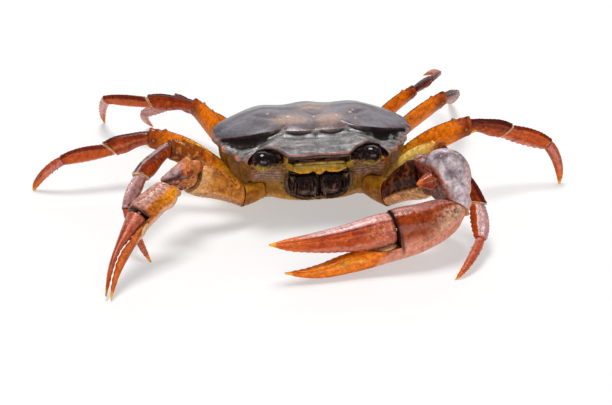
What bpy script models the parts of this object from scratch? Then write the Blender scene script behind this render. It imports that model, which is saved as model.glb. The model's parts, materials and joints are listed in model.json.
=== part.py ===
"""Ricefield crab, life size, standing on its toes as a still model.

Lengths are in millimetres and angles in degrees up to make_node, which turns a mesh into metres. The crab
faces -Y, its right side is at -X, and the floor is z = 0. A leg's yaw is 0 straight out from the body, plus
towards the rear and minus towards the front, and its pitch is plus upwards.
"""

import math

import bmesh
import bpy
import numpy as np
from mathutils import Matrix, Vector

MM = 0.001
GAP = 0.3
ORIGIN = (-2.53, 1.14)
BODY_NAME = "ricefield_crab"
SOLVER = "MANIFOLD"

# Carapace: half of the margin, front to rear, as (x, y, z), in runs that meet at the tips and notches
FRONT = [(0.0, -16.7, 19.0), (4.0, -17.1, 19.0), (7.2, -16.9, 19.0)]
ORBIT_EDGE = [(7.2, -16.9, 19.0), (9.6, -14.9, 20.0), (12.2, -14.1, 20.6), (15.2, -13.6, 19.0),
              (17.5, -14.6, 16.6)]
TOOTH_NOTCHES = [(17.5, -14.6, 16.6), (18.4, -12.7, 17.2), (20.0, -11.8, 16.8), (20.7, -10.0, 17.7),
                 (23.0, -8.3, 17.9), (23.2, -6.4, 18.5), (25.0, -4.4, 19.0), (24.3, -2.6, 19.0)]
REAR_SIDE = [(24.3, -2.6, 19.0), (24.5, 1.0, 18.7), (23.3, 6.0, 17.6), (20.6, 11.0, 15.9),
             (17.2, 15.4, 14.0), (13.8, 18.6, 12.8), (10.0, 20.0, 12.2), (5.0, 20.5, 12.0), (0.0, 20.6, 12.0)]
POLE = (0.0, 1.0)
DOME_TOP = 22.9
DOME_MIDDLE_Y = -3.0
DOME_LENGTHWISE = 0.0151
DOME_ACROSS = 0.00019
LOBES = [(11.0, 1.0, 6.5, 1.1), (0.0, 2.0, 4.0, 0.5), (5.0, -7.0, 3.2, 0.35)]
CREST = [(0.0, -10.5, 21.6), (5.5, -10.3, 21.8), (13.5, -9.5, 22.3), (18.7, -8.0, 20.6), (22.5, -6.2, 19.6),
         (25.0, -4.4, 19.0)]
CREST_STEP = 0.9
EDGE = 1.3
RIM = 0.945
UNDER_MIDDLE_Z, UNDER_SLOPE = 15.9, 0.07

# Thorax: the wall runs from under the carapace's rim to the outline of the sternum
STERNUM_HALF_WIDTH = 15.0
STERNUM_FRONT, STERNUM_REAR = -15.0, 15.0
STERNUM_POWER = 2.6
WALL_FOOT_Z = 5.6
BELLY_Z = 4.4

# Walking legs: lengths of merus with ischium, carpus, propodus and dactyl; where each coxa starts and ends
LEG_LENGTHS = {2: (21.3, 15.2, 10.4, 13.6), 3: (24.6, 10.6, 12.1, 11.8), 4: (23.5, 12.9, 13.8, 13.8),
               5: (20.1, 9.3, 9.8, 10.2)}
LEG_ROOTS = {2: (12.5, -5.0, 8.2), 3: (13.5, 0.5, 8.2), 4: (13.0, 6.0, 8.2), 5: (10.5, 11.0, 8.6)}
LEG_HIPS = {2: (17.5, -7.5, 6.0), 3: (19.5, -0.5, 5.8), 4: (17.9, 8.0, 6.6), 5: (14.5, 14.0, 8.0)}
LEG_GIRTH = {2: 1.0, 3: 1.06, 4: 0.97, 5: 0.8}
CLAW_COXA_LENGTH, COXA_SINK = 3.0, 3.0
# (yaw, pitch) of merus, carpus, propodus and dactyl
LEG_POSES = {
    "2_right": [(17, 27), (-59, -4), (-66, -23), (-124, -52)],
    "2_left": [(-44, 36), (-57, -38), (-97, -26), (-128, -20)],
    "3_right": [(30, 17), (-4, -13), (-4, -9), (12, -48)],
    "3_left": [(-13, 32), (13, -18), (-2, -21), (-4, -72)],
    "4_right": [(66, 17), (30, -5), (32, -7), (85, -52)],
    "4_left": [(23, 26), (63, -20), (77, -26), (82, -28)],
    "5_right": [(60, 4), (45, 10), (11, -24), (109, -43)],
    "5_left": [(26, 27), (53, -5), (62, -9), (101, -23)],
}
LIFTED = ["5_left"]
UPRIGHT_SHARE = (2.0, 0.5, 0.4, 0.4)
JOINT_SLANT = 0.75
# Half height and half width along each segment, as (share of the length, size)
MERUS_HEIGHT = [(0.0, 1.9), (0.2, 2.4), (0.5, 3.05), (0.8, 2.7), (1.0, 2.15)]
MERUS_WIDTH = [(0.0, 1.3), (0.5, 1.45), (0.85, 1.5), (1.0, 1.35)]
CARPUS_HEIGHT = [(0.0, 1.45), (0.3, 1.7), (0.75, 2.2), (1.0, 1.85)]
CARPUS_WIDTH = [(0.0, 1.1), (0.5, 1.35), (1.0, 1.2)]
PROPODUS_HEIGHT = [(0.0, 1.75), (0.45, 2.1), (0.85, 1.7), (1.0, 1.3)]
PROPODUS_WIDTH = [(0.0, 1.15), (0.5, 1.1), (1.0, 0.85)]
DACTYL_HEIGHT = [(0.0, 1.2), (0.3, 1.2), (0.7, 0.85), (0.93, 0.42), (1.0, 0.28)]
DACTYL_WIDTH = [(0.0, 0.9), (0.3, 0.95), (0.7, 0.7), (0.93, 0.36), (1.0, 0.26)]
MERUS_BOW, CARPUS_BOW, PROPODUS_BOW, DACTYL_BOW = 0.9, 0.3, 0.2, 1.0
TOOTH_AT, TOOTH_RADIUS = 0.8, 0.55
TOE_FLAT_Z = 0.0

# Chelipeds: joints as points, then the claw in its own plane
SPINE_RADIUS = 1.3
CLAWS = {
    "left": {
        "root": (10.8, -10.0, 7.6), "ischium_end": (16.8, -17.8, 7.6), "merus_end": (24.6, -24.9, 14.6),
        "wrist": (30.8, -36.2, 11.2), "limb": 1.0, "carpus_middle": (28.2, -30.2, 17.5),
        "carpus_radii": (6.6, 6.4, 4.9), "spine": ((-0.6, -1.0, 3.4), (-0.8, -1.4, 8.8)),
        "yaw": -168.0, "pitch": -7.6, "lean": 14.0,
        "top": [(0.0, 2.9), (4.0, 3.9), (10.5, 4.4), (15.0, 4.9), (17.2, 4.9)],
        "bottom": [(0.0, -1.6), (2.0, -3.8), (4.6, -5.2), (9.0, -6.4), (13.0, -7.0), (20.7, -7.0),
                   (29.8, -6.8), (37.4, -5.8), (42.0, -4.2), (45.0, -2.6)],
        "ledge": [(17.2, -3.3), (22.9, -3.1), (26.0, -2.3), (30.5, -2.3), (36.2, -2.8), (42.0, -2.6),
                  (45.0, -2.2)],
        "hinge": 17.2,
        "thickness": [(0.0, 2.6), (5.0, 4.2), (12.0, 4.8), (17.2, 4.2), (27.0, 2.7), (38.0, 1.7),
                      (45.0, 0.3)],
        "finger_top": [(17.6, 4.6), (20.5, 4.8), (29.5, 4.7), (37.0, 5.0), (43.0, 5.4), (47.2, 5.5)],
        "finger_bottom": [(17.6, -2.9), (23.6, -2.7), (30.8, -1.3), (37.9, 0.7), (43.0, 2.6), (47.2, 5.0)],
        "finger_thickness": [(17.6, 3.6), (24.0, 3.0), (33.0, 2.2), (42.0, 1.2), (47.2, 0.25)],
    },
    "right": {
        "root": (10.8, -10.0, 7.6), "ischium_end": (19.0, -14.0, 7.4), "merus_end": (31.0, -15.6, 13.6),
        "wrist": (36.2, -26.3, 16.0), "limb": 0.82, "carpus_middle": (34.6, -20.2, 17.4),
        "carpus_radii": (5.0, 4.4, 4.2), "spine": ((1.4, 0.0, 1.8), (4.6, 0.2, 4.4)),
        "yaw": -52.0, "pitch": -29.0, "lean": 59.0,
        "top": [(0.0, 4.3), (4.6, 6.0), (7.9, 6.9), (9.8, 6.8)],
        "bottom": [(0.0, -1.2), (1.6, -1.8), (3.8, -1.7), (5.2, -0.9), (8.3, -0.2), (10.6, 0.3),
                   (15.2, 0.8), (20.5, 0.8), (24.8, 0.5), (29.4, -0.4), (31.4, -0.9)],
        "ledge": [(9.8, 1.3), (13.9, 2.2), (16.8, 2.6), (19.4, 2.9), (21.8, 2.7), (24.9, 2.0), (29.4, 0.4),
                  (31.4, -0.6)],
        "hinge": 9.8,
        "thickness": [(0.0, 1.9), (4.0, 2.6), (8.0, 2.9), (9.8, 2.6), (16.0, 1.7), (26.0, 1.0),
                      (31.4, 0.25)],
        "finger_top": [(10.2, 6.5), (11.5, 6.4), (13.9, 6.0), (19.2, 5.0), (24.8, 3.7), (29.2, 1.9),
                       (31.2, 0.9)],
        "finger_bottom": [(10.2, 1.7), (13.9, 2.6), (16.8, 3.0), (19.4, 3.3), (21.8, 3.1), (24.9, 2.4),
                          (29.0, 1.2), (31.2, 0.5)],
        "finger_thickness": [(10.2, 2.3), (15.0, 1.9), (21.0, 1.3), (28.0, 0.7), (31.2, 0.25)],
    },
}

# Face
EYE_MIDDLE = (13.3, -15.6, 17.2)
EYE_RADIUS = 2.3
STALK_ROOT = (8.6, -14.4, 16.8)
STALK_RADII = (1.15, 1.6)
ORBIT_RADII = (4.6, 3.6, 2.9)
ORBIT_MIDDLE = (12.9, -15.6, 16.9)
MOUTH_HALF_WIDTH = 8.2
MOUTH_TOP, MOUTH_FOOT = 13.2, 6.9
MOUTH_DEPTH_Y = -13.4
EPISTOME_HALF_WIDTH = 6.8
EPISTOME_Z = (13.6, 16.1)
FACE_HALF_WIDTH = 7.3
FACE_DEPTH_Y = -14.7
ANTENNULE_X = (1.1, 5.0)
ANTENNULE_Z = 16.8


def clear_scene():
    for thing in list(bpy.data.objects):
        bpy.data.objects.remove(thing, do_unlink=True)


def curve(knots, t):
    """A smooth curve through (t, value) pairs."""
    xs, ys = np.array(knots, float).T
    slopes = np.gradient(ys, xs)
    t = np.asarray(t, float)
    i = np.clip(np.searchsorted(xs, t, side="right") - 1, 0, len(xs) - 2)
    span = xs[i + 1] - xs[i]
    s = np.clip((t - xs[i]) / span, 0.0, 1.0)
    start = (1 + 2 * s) * (1 - s) ** 2 * ys[i] + s * (1 - s) ** 2 * span * slopes[i]
    end = s * s * (3 - 2 * s) * ys[i + 1] + s * s * (s - 1) * span * slopes[i + 1]
    return start + end


def unit(v):
    v = np.asarray(v, float)
    return v / np.linalg.norm(v)


def superellipse(count, power, turn=0.5):
    """Points round a unit section: an ellipse at power 2, squarer above it and more pointed below."""
    angles = 2 * math.pi * (np.arange(count) + turn) / count
    c, s = np.cos(angles), np.sin(angles)
    return np.sign(c) * abs(c) ** (2 / power), np.sign(s) * abs(s) ** (2 / power)


def direction(yaw, pitch, side):
    """Unit vector of a heading, mirrored to the crab's right side where side is -1."""
    y, p = math.radians(yaw), math.radians(pitch)
    return np.array([side * math.cos(y) * math.cos(p), math.sin(y) * math.cos(p), math.sin(p)])


def upright(axis):
    """The direction square to axis that lies in its vertical plane."""
    return unit(np.array([0.0, 0.0, 1.0]) - axis * axis[2])


def mesh_of_rings(rings, close_start=True, close_end=True):
    """A tube of quads through rings of points. A ring of equal points is a pole."""
    bm = bmesh.new()
    rows = [[bm.verts.new(Vector(p)) for p in ring] for ring in rings]
    for a, b in zip(rows, rows[1:]):
        for j in range(len(a)):
            k = (j + 1) % len(a)
            bm.faces.new([a[j], a[k], b[k], b[j]])
    if close_start:
        bm.faces.new(rows[0][::-1])
    if close_end:
        bm.faces.new(rows[-1])
    bmesh.ops.remove_doubles(bm, verts=bm.verts, dist=1e-4)
    bmesh.ops.recalc_face_normals(bm, faces=bm.faces)
    return bm


def cut(bm, point, normal):
    """Keeps what lies behind the plane, and closes the cut."""
    found = bmesh.ops.bisect_plane(
        bm, geom=bm.verts[:] + bm.edges[:] + bm.faces[:], dist=1e-5,
        plane_co=Vector(point), plane_no=Vector(normal), clear_outer=True)
    edges = [e for e in found["geom_cut"] if isinstance(e, bmesh.types.BMEdge)]
    bmesh.ops.holes_fill(bm, edges=edges, sides=0)
    bmesh.ops.recalc_face_normals(bm, faces=bm.faces)
    return bm


def material(name, colour, roughness):
    made = bpy.data.materials.get(name)
    if made is None:
        made = bpy.data.materials.new(name)
        made.use_nodes = True
        shader = made.node_tree.nodes["Principled BSDF"]
        shader.inputs["Base Color"].default_value = (*colour, 1.0)
        shader.inputs["Roughness"].default_value = roughness
        shader.inputs["Metallic"].default_value = 0.0
    return made


SHELL_DARK = ("carapace_shell", (0.05, 0.035, 0.05), 0.3)
SHELL_BELLY = ("belly_shell", (0.25, 0.17, 0.06), 0.4)
SHELL_MERUS = ("merus_shell", (0.55, 0.24, 0.04), 0.35)
SHELL_LEG = ("leg_shell", (0.25, 0.06, 0.03), 0.3)
SHELL_CLAW = ("claw_shell", (0.36, 0.12, 0.08), 0.3)
EYE_GLOSS = ("eye_gloss", (0.02, 0.012, 0.01), 0.1)
FACE_SHELL = ("face_shell", (0.3, 0.27, 0.08), 0.4)


def make_node(name, bm, finish):
    """Turns a mesh in millimetres into a named object in metres, its origin at the middle of its box."""
    points = np.array([v.co[:] for v in bm.verts])
    middle = Vector((points.min(axis=0) + points.max(axis=0)) / 2)
    bmesh.ops.translate(bm, verts=bm.verts, vec=-middle)
    bmesh.ops.scale(bm, verts=bm.verts, vec=(MM, MM, MM))
    mesh = bpy.data.meshes.new(name)
    bm.to_mesh(mesh)
    bm.free()
    mesh.shade_smooth()
    mesh.set_sharp_from_angle(angle=math.radians(35))
    node = bpy.data.objects.new(name, mesh)
    node.location = (middle - Vector((*ORIGIN, 0.0))) * MM
    node.data.materials.append(material(*finish))
    crab_collection.objects.link(node)
    return node


def fused(meshes, cutters=()):
    """One closed mesh in millimetres: the union of meshes, less the cutters."""
    helpers = []

    def helper(bm):
        mesh = bpy.data.meshes.new("helper")
        bm.to_mesh(mesh)
        bm.free()
        thing = bpy.data.objects.new("helper", mesh)
        bpy.context.scene.collection.objects.link(thing)
        helpers.append(thing)
        return thing

    whole = helper(meshes[0])
    for operation, others in (("UNION", meshes[1:]), ("DIFFERENCE", cutters)):
        for other in others:
            change = whole.modifiers.new(operation, "BOOLEAN")
            change.operation = operation
            change.solver = SOLVER
            change.object = helper(other)
    graph = bpy.context.evaluated_depsgraph_get()
    result = bmesh.new()
    result.from_mesh(whole.evaluated_get(graph).to_mesh())
    for thing in helpers:
        bpy.data.objects.remove(thing, do_unlink=True)
    return largest_piece(result)


def largest_piece(bm):
    """Drops every loose scrap but the piece with the most faces."""
    left = set(bm.faces)
    pieces = []
    while left:
        stack = [left.pop()]
        piece = set(stack)
        while stack:
            for edge in stack.pop().edges:
                for face in edge.link_faces:
                    if face in left:
                        left.discard(face)
                        piece.add(face)
                        stack.append(face)
        pieces.append(piece)
    pieces.sort(key=len)
    scraps = [face for piece in pieces[:-1] for face in piece]
    bmesh.ops.delete(bm, geom=scraps, context="FACES")
    return bm


def spike(root, tip, radius, sides=5):
    """A tapered spine from a root sunk in its carrier to its tip."""
    root, tip = np.array(root, float), np.array(tip, float)
    axis = unit(tip - root)
    across = unit(np.cross(axis, (0.3, 0.9, 0.2)))
    other = np.cross(axis, across)
    x, y = superellipse(sides, 2)
    ring = [across * a + other * b for a, b in zip(x, y)]
    return mesh_of_rings([[root + radius * p for p in ring], [tip + 0.12 * p for p in ring]])


def ellipsoid(middle, axes, radii, around=16, along=10, power=2.2):
    """A rounded body. axes holds its long direction, its up direction and its side direction."""
    x, y = superellipse(around, power)
    rings = []
    for k in range(along + 1):
        turn = math.pi * k / along
        level, wide = -math.cos(turn), math.sin(turn) ** 0.9
        ring = [np.array(middle) + axes[0] * radii[0] * level + axes[1] * radii[1] * wide * b
                + axes[2] * radii[2] * wide * a for a, b in zip(x, y)]
        rings.append(ring)
    return mesh_of_rings(rings, close_start=False, close_end=False)


def limb_segment(start, end, planes, up, height, width, power=2.0, bow=0.0, count=10, levels=7):
    """A tapered segment whose long lines all run from one joint plane to the next."""
    axis = unit(end - start)
    length = np.linalg.norm(end - start)
    side = np.cross(axis, up)
    x, y = superellipse(count, power)
    (point_a, normal_a), (point_b, normal_b) = planes
    rings = []
    for t in np.linspace(0.0, 1.0, levels):
        h, w = curve(height, t), curve(width, t)
        lift = bow * 4 * t * (1 - t)
        ring = []
        for a, b in zip(x, y):
            offset = up * (b * h + lift) + side * a * w
            first = np.dot(point_a - start - offset, normal_a) / np.dot(axis, normal_a)
            last = np.dot(point_b - start - offset, normal_b) / np.dot(axis, normal_b)
            first = max(first, -0.35 * length)
            last = min(last, 1.35 * length)
            ring.append(start + offset + axis * (first * (1 - t) + last * t))
        rings.append(ring)
    return mesh_of_rings(rings)


def leg_joints(key):
    """Points of one leg from its hip to its toe, and the direction of each segment."""
    pair, side = int(key[0]), 1 if key.endswith("left") else -1
    point = np.array(LEG_HIPS[pair]) * (side, 1, 1)
    points, ways = [point], []
    for (yaw, pitch), length in zip(LEG_POSES[key], LEG_LENGTHS[pair]):
        if len(ways) == 3 and key not in LIFTED:
            pitch = -math.degrees(math.asin((point[2] - TOE_FLAT_Z) / length))
        way = direction(yaw, pitch, side)
        point = point + way * length
        points.append(point)
        ways.append(way)
    return points, ways


def sized(profile, factor, clearance=0.0):
    """A profile scaled by factor, with clearance added all along it."""
    return [(t, size * factor + clearance) for t, size in profile]


def merus_shape(key, clearance):
    """A leg's merus without its tooth, or the space that it needs in the thorax."""
    points, ways = leg_joints(key)
    girth = LEG_GIRTH[int(key[0])]
    bend, knee = unit(coxa_way(key) + ways[0]), unit(ways[0] + ways[1])
    near = points[0] - bend * (clearance / 2 + 0.02) if clearance else points[0] + bend * GAP / 2
    planes = ((near, bend), (points[1] - knee * GAP / 2, knee))
    height, width = sized(MERUS_HEIGHT, girth, clearance), sized(MERUS_WIDTH, girth, clearance)
    return limb_segment(points[0], points[1], planes, dorsal(ways, 0), height, width, 1.7, MERUS_BOW * girth)


def stalk_shape(side, clearance):
    """The eye's stalk, or the space that it needs in the thorax."""
    root = np.array(STALK_ROOT) * (side, 1, 1)
    eye = np.array(EYE_MIDDLE) * (side, 1, 1)
    way = unit(eye - root)
    neck = eye - way * EYE_RADIUS * 0.45
    radii = [(0.0, STALK_RADII[0] + clearance), (1.0, STALK_RADII[1] + clearance)]
    planes = ((root - way * clearance, way), (neck - way * GAP / 2, way))
    return limb_segment(root, neck, planes, upright(way), radii, radii, 2.0, 0.0, 12, 4)


def claw_ways(name):
    """Root, ends and directions of a cheliped's ischium and merus."""
    side = 1 if name == "left" else -1
    spots = [np.array(CLAWS[name][key]) * (side, 1, 1) for key in ("root", "ischium_end", "merus_end")]
    return spots, [unit(spots[1] - spots[0]), unit(spots[2] - spots[1])]


def ischium_shape(name, clearance):
    """A cheliped's ischium, or the space that it needs in the thorax."""
    (root, end, _), ways = claw_ways(name)
    limb = CLAWS[name]["limb"]
    hip = root + ways[0] * CLAW_COXA_LENGTH
    near = hip - ways[0] * (clearance / 2 + 0.02) if clearance else hip + ways[0] * GAP / 2
    elbow = unit(ways[0] + ways[1])
    height = sized([(0.0, 2.6), (0.5, 3.1), (1.0, 3.2)], limb, clearance)
    width = sized([(0.0, 2.0), (0.5, 2.4), (1.0, 2.6)], limb, clearance)
    planes = ((near, ways[0]), (end - elbow * GAP / 2, elbow))
    return limb_segment(hip, end, planes, upright(ways[0]), height, width, 2.3, 0.0, 12, 4)


def coxa_way(key):
    pair, side = int(key[0]), 1 if key.endswith("left") else -1
    return unit((np.array(LEG_HIPS[pair]) - np.array(LEG_ROOTS[pair])) * (side, 1, 1))


def dorsal(ways, k):
    """The upper side of segment k: mostly upright, turned towards the outside of the leg's own bends."""
    way = ways[k]
    bends = np.zeros(3)
    if k > 0:
        bends = bends + ways[k - 1] - way
    if k < len(ways) - 1:
        bends = bends + way - ways[k + 1]
    bends = bends - way * np.dot(bends, way)
    return unit(upright(way) * UPRIGHT_SHARE[k] + bends)


def joint_normal(ways, k):
    """Square to the joint at the start of segment k. The joint of carpus and propodus lies aslant."""
    normal = unit(ways[k - 1] + ways[k])
    if k == 2:
        normal = unit(normal - dorsal(ways, 1) * JOINT_SLANT)
    return normal


def make_leg(key):
    """Merus with its ischium, carpus, propodus and dactyl of one walking leg."""
    points, ways = leg_joints(key)
    girth = LEG_GIRTH[int(key[0])]
    planes = [None] + [(points[k], joint_normal(ways, k)) for k in (1, 2, 3)]
    merus_top = curve(MERUS_HEIGHT, TOOTH_AT) * girth
    out, up = ways[0], dorsal(ways, 0)
    top = points[0] + (points[1] - points[0]) * TOOTH_AT + up * merus_top
    tooth = spike(top - up * 1.2 - out * 0.6, top + up * 0.5 + out * 0.9, TOOTH_RADIUS)
    make_node(f"leg_{key}_merus", fused([merus_shape(key, 0.0), tooth]), SHELL_MERUS)
    shapes = [("carpus", CARPUS_HEIGHT, CARPUS_WIDTH, 1.9, CARPUS_BOW),
              ("propodus", PROPODUS_HEIGHT, PROPODUS_WIDTH, 1.9, PROPODUS_BOW),
              ("dactyl", DACTYL_HEIGHT, DACTYL_WIDTH, 1.8, DACTYL_BOW)]
    for k, (name, height, width, power, bow) in enumerate(shapes, 1):
        start, end, way = points[k], points[k + 1], ways[k]
        up = dorsal(ways, k)
        near = (planes[k][0] + planes[k][1] * GAP / 2, planes[k][1])
        if k < 3:
            far = (planes[k + 1][0] - planes[k + 1][1] * GAP / 2, planes[k + 1][1])
        elif key in LIFTED:
            far = (end, way)
        else:
            far = (np.array([0.0, 0.0, TOE_FLAT_Z]), np.array([0.0, 0.0, -1.0]))
        segment = limb_segment(start, end, (near, far), up, sized(height, girth), sized(width, girth),
                               power, bow * girth)
        make_node(f"leg_{key}_{name}", segment, SHELL_LEG)


def coxa(root, end, way_on, girth):
    """The stub at the body that a limb grows from."""
    way = unit(end - root)
    start = root - way * COXA_SINK
    height = [(0.0, 2.6 * girth), (0.6, 2.5 * girth), (1.0, 2.0 * girth)]
    width = [(0.0, 2.2 * girth), (0.6, 1.9 * girth), (1.0, 1.4 * girth)]
    bend = unit(way + way_on)
    planes = ((start, way), (end - bend * GAP / 2, bend))
    return limb_segment(start, end, planes, upright(way), height, width, 2.2, 0.0, 10, 4)


def margin(steps):
    """The carapace's whole margin as points (x, y, z), from the middle of the front round by the left."""
    half = []
    for run in (FRONT, ORBIT_EDGE, TOOTH_NOTCHES, REAR_SIDE):
        smooth = run is not TOOTH_NOTCHES
        for k in range((len(run) - 1) * steps):
            t = k / steps
            index = np.arange(len(run))
            columns = np.array(run).T
            if smooth:
                half.append([float(curve(list(zip(index, c)), t)) for c in columns])
            else:
                half.append([float(np.interp(t, index, c)) for c in columns])
    half.append(list(REAR_SIDE[-1]))
    other = [[-x, y, z] for x, y, z in half[-2:0:-1]]
    return np.array(half + other)


def angle_from_pole(x, y):
    return math.atan2(-(y - POLE[1]), abs(x))


def crest_at(x, y):
    """Share of the way from the pole to the margin where the crest lies, its height and its step."""
    angles = [angle_from_pole(a, b) for a, b, _ in CREST][::-1]
    angle = angle_from_pole(x, y)
    if angle <= angles[0]:
        return 1.0, None, 0.0
    reach = [math.hypot(a, b - POLE[1]) for a, b, _ in CREST][::-1]
    heights = [c for _, _, c in CREST][::-1]
    share = np.interp(angle, angles, reach) / math.hypot(x, y - POLE[1])
    height = np.interp(angle, angles, heights)
    step = CREST_STEP * min(1.0, (angle - angles[0]) / 0.35)
    return min(share, 1.0), height, step


def dome(x, y):
    z = DOME_TOP - DOME_LENGTHWISE * (y - DOME_MIDDLE_Y) ** 2 - DOME_ACROSS * abs(x) ** 3
    for across, along, spread, rise in LOBES:
        for middle in {across, -across}:
            z += rise * math.exp(-((x - middle) ** 2 + (y - along) ** 2) / spread ** 2)
    return z


def carapace_top(edge, share):
    """Point of the upper surface on the ray from the pole to a point of the margin."""
    x = POLE[0] + share * (edge[0] - POLE[0])
    y = POLE[1] + share * (edge[1] - POLE[1])
    crest, height, step = crest_at(edge[0], edge[1])
    if height is None:
        height = edge[2]
    crest_x = crest * edge[0]
    crest_y = POLE[1] + crest * (edge[1] - POLE[1])
    if share <= crest:
        z = dome(x, y) + (height - dome(crest_x, crest_y)) * (share / crest) ** 8
    else:
        along = (share - crest) / (1 - crest)
        z = (height - step) + (edge[2] - height + step) * along
    return np.array([x, y, z])


def carapace_under(edge, share):
    """Point of the lower surface, which the thorax follows at the gap."""
    x = share * edge[0]
    y = POLE[1] + share * (edge[1] - POLE[1])
    inner = edge[2] - EDGE
    middle = UNDER_MIDDLE_Z - UNDER_SLOPE * y
    z = middle + (inner - middle) * share ** 3
    return np.array([x, y, z])


def orbit_hollows():
    return [ellipsoid(np.array(ORBIT_MIDDLE) * (side, 1, 1), np.eye(3), ORBIT_RADII) for side in (-1, 1)]


def make_carapace():
    edges = margin(2)
    rings = []
    crests = [crest_at(e[0], e[1])[0] for e in edges]
    behind = (0.0, 0.2, 0.4, 0.58, 0.72, 0.83, 0.91, 0.965, 1.0)
    for share in behind:
        rings.append([carapace_top(e, share * c) for e, c in zip(edges, crests)])
    for along in (0.06, 0.4, 0.75, 1.0):
        ring = []
        for e, c in zip(edges, crests):
            if c < 0.995:
                ring.append(carapace_top(e, c + (1 - c) * along))
            else:
                ring.append(np.array([e[0], e[1], e[2] - EDGE * 0.15 * along]))
        rings.append(ring)
    rings.append([np.array([e[0], e[1], e[2] - EDGE * 0.5]) for e in edges])
    for share in (0.97, RIM, 0.8, 0.5, 0.0):
        rings.append([carapace_under(e, share) for e in edges])
    shell = mesh_of_rings(rings, close_start=False, close_end=False)
    make_node("carapace", fused([shell], orbit_hollows()), SHELL_DARK)


def sternum_outline(edge):
    """Point of the sternum's outline on the same ray from the pole as a point of the margin."""
    way = unit([edge[0], edge[1] - POLE[1]])
    half_length = (STERNUM_REAR - STERNUM_FRONT) / 2
    middle_y = (STERNUM_REAR + STERNUM_FRONT) / 2
    low, high = 0.0, 40.0
    for _ in range(40):
        reach = (low + high) / 2
        x, y = way[0] * reach, POLE[1] + way[1] * reach - middle_y
        inside = abs(x / STERNUM_HALF_WIDTH) ** STERNUM_POWER + abs(y / half_length) ** STERNUM_POWER < 1
        low, high = (reach, high) if inside else (low, reach)
    return np.array([way[0] * low, POLE[1] + way[1] * low])


def make_thorax():
    edges = margin(1)
    feet = [sternum_outline(e) for e in edges]
    rings = [[carapace_under(e, share) - (0, 0, GAP) for e in edges] for share in (0.0, 0.5, 0.8, RIM)]
    for turn in (18, 36, 54, 72, 90):
        c, s = math.cos(math.radians(turn)), math.sin(math.radians(turn))
        ring = []
        for e, foot in zip(edges, feet):
            rim = carapace_under(e, RIM) - (0, 0, GAP)
            flat = foot + (rim[:2] - foot) * c
            ring.append(np.array([*flat, rim[2] + (WALL_FOOT_Z - rim[2]) * s]))
        rings.append(ring)
    for share in (0.82, 0.5, 0.0):
        z = BELLY_Z + (WALL_FOOT_Z - BELLY_Z) * max(0.0, share - 0.6) * 1.2
        ring = [np.array([foot[0] * share, POLE[1] + (foot[1] - POLE[1]) * share, z]) for foot in feet]
        rings.append(ring)
    parts = [mesh_of_rings(rings, close_start=False, close_end=False)]
    for key in LEG_POSES:
        points, ways = leg_joints(key)
        side = 1 if key.endswith("left") else -1
        root = np.array(LEG_ROOTS[int(key[0])]) * (side, 1, 1)
        parts.append(coxa(root, points[0], ways[0], LEG_GIRTH[int(key[0])]))
    for side_name, claw in CLAWS.items():
        (root, _, _), (way, _) = claw_ways(side_name)
        parts.append(coxa(root, root + way * CLAW_COXA_LENGTH, way, 1.15 * claw["limb"] + 0.1))
    cutters = orbit_hollows()
    cutters.append(box((0.0, MOUTH_DEPTH_Y - 5.0, (MOUTH_TOP + MOUTH_FOOT) / 2),
                       (MOUTH_HALF_WIDTH * 2, 10.0, MOUTH_TOP - MOUTH_FOOT)))
    cutters.append(box((0.0, FACE_DEPTH_Y - 5.0, MOUTH_TOP + 3.1), (FACE_HALF_WIDTH * 2, 10.0, 7.0)))
    cutters += [stalk_shape(side, GAP) for side in (-1, 1)]
    for key in LEG_POSES:
        cutters.append(merus_shape(key, GAP))
    for side_name in CLAWS:
        cutters.append(ischium_shape(side_name, GAP))
    make_node("thorax", fused(parts, cutters), SHELL_BELLY)


def box(middle, size):
    bm = bmesh.new()
    bmesh.ops.create_cube(bm, size=1.0, matrix=Matrix.Translation(middle) @ Matrix.Diagonal((*size, 1.0)))
    return bm


def make_pleon():
    """The abdomen, folded forwards under the sternum."""
    path = [(20.2, 9.6), (18.6, 6.6), (16.2, 4.8), (13.0, 3.8), (8.0, 3.5), (2.0, 3.5), (-3.0, 3.5),
            (-6.0, 3.6)]
    half_width = [(0.0, 6.0), (0.2, 6.2), (0.35, 5.6), (0.6, 3.6), (0.85, 2.2), (1.0, 0.9)]
    x, y = superellipse(12, 3.0)
    rings = []
    for k, (along, z) in enumerate(path):
        before, after = path[max(k - 1, 0)], path[min(k + 1, len(path) - 1)]
        way = unit([0.0, after[0] - before[0], after[1] - before[1]])
        up = np.array([0.0, -way[2], way[1]])
        wide = float(curve(half_width, k / (len(path) - 1)))
        rings.append([np.array([a * wide, along, z]) + up * 0.45 * b for a, b in zip(x, y)])
    make_node("pleon", mesh_of_rings(rings), SHELL_BELLY)


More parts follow.
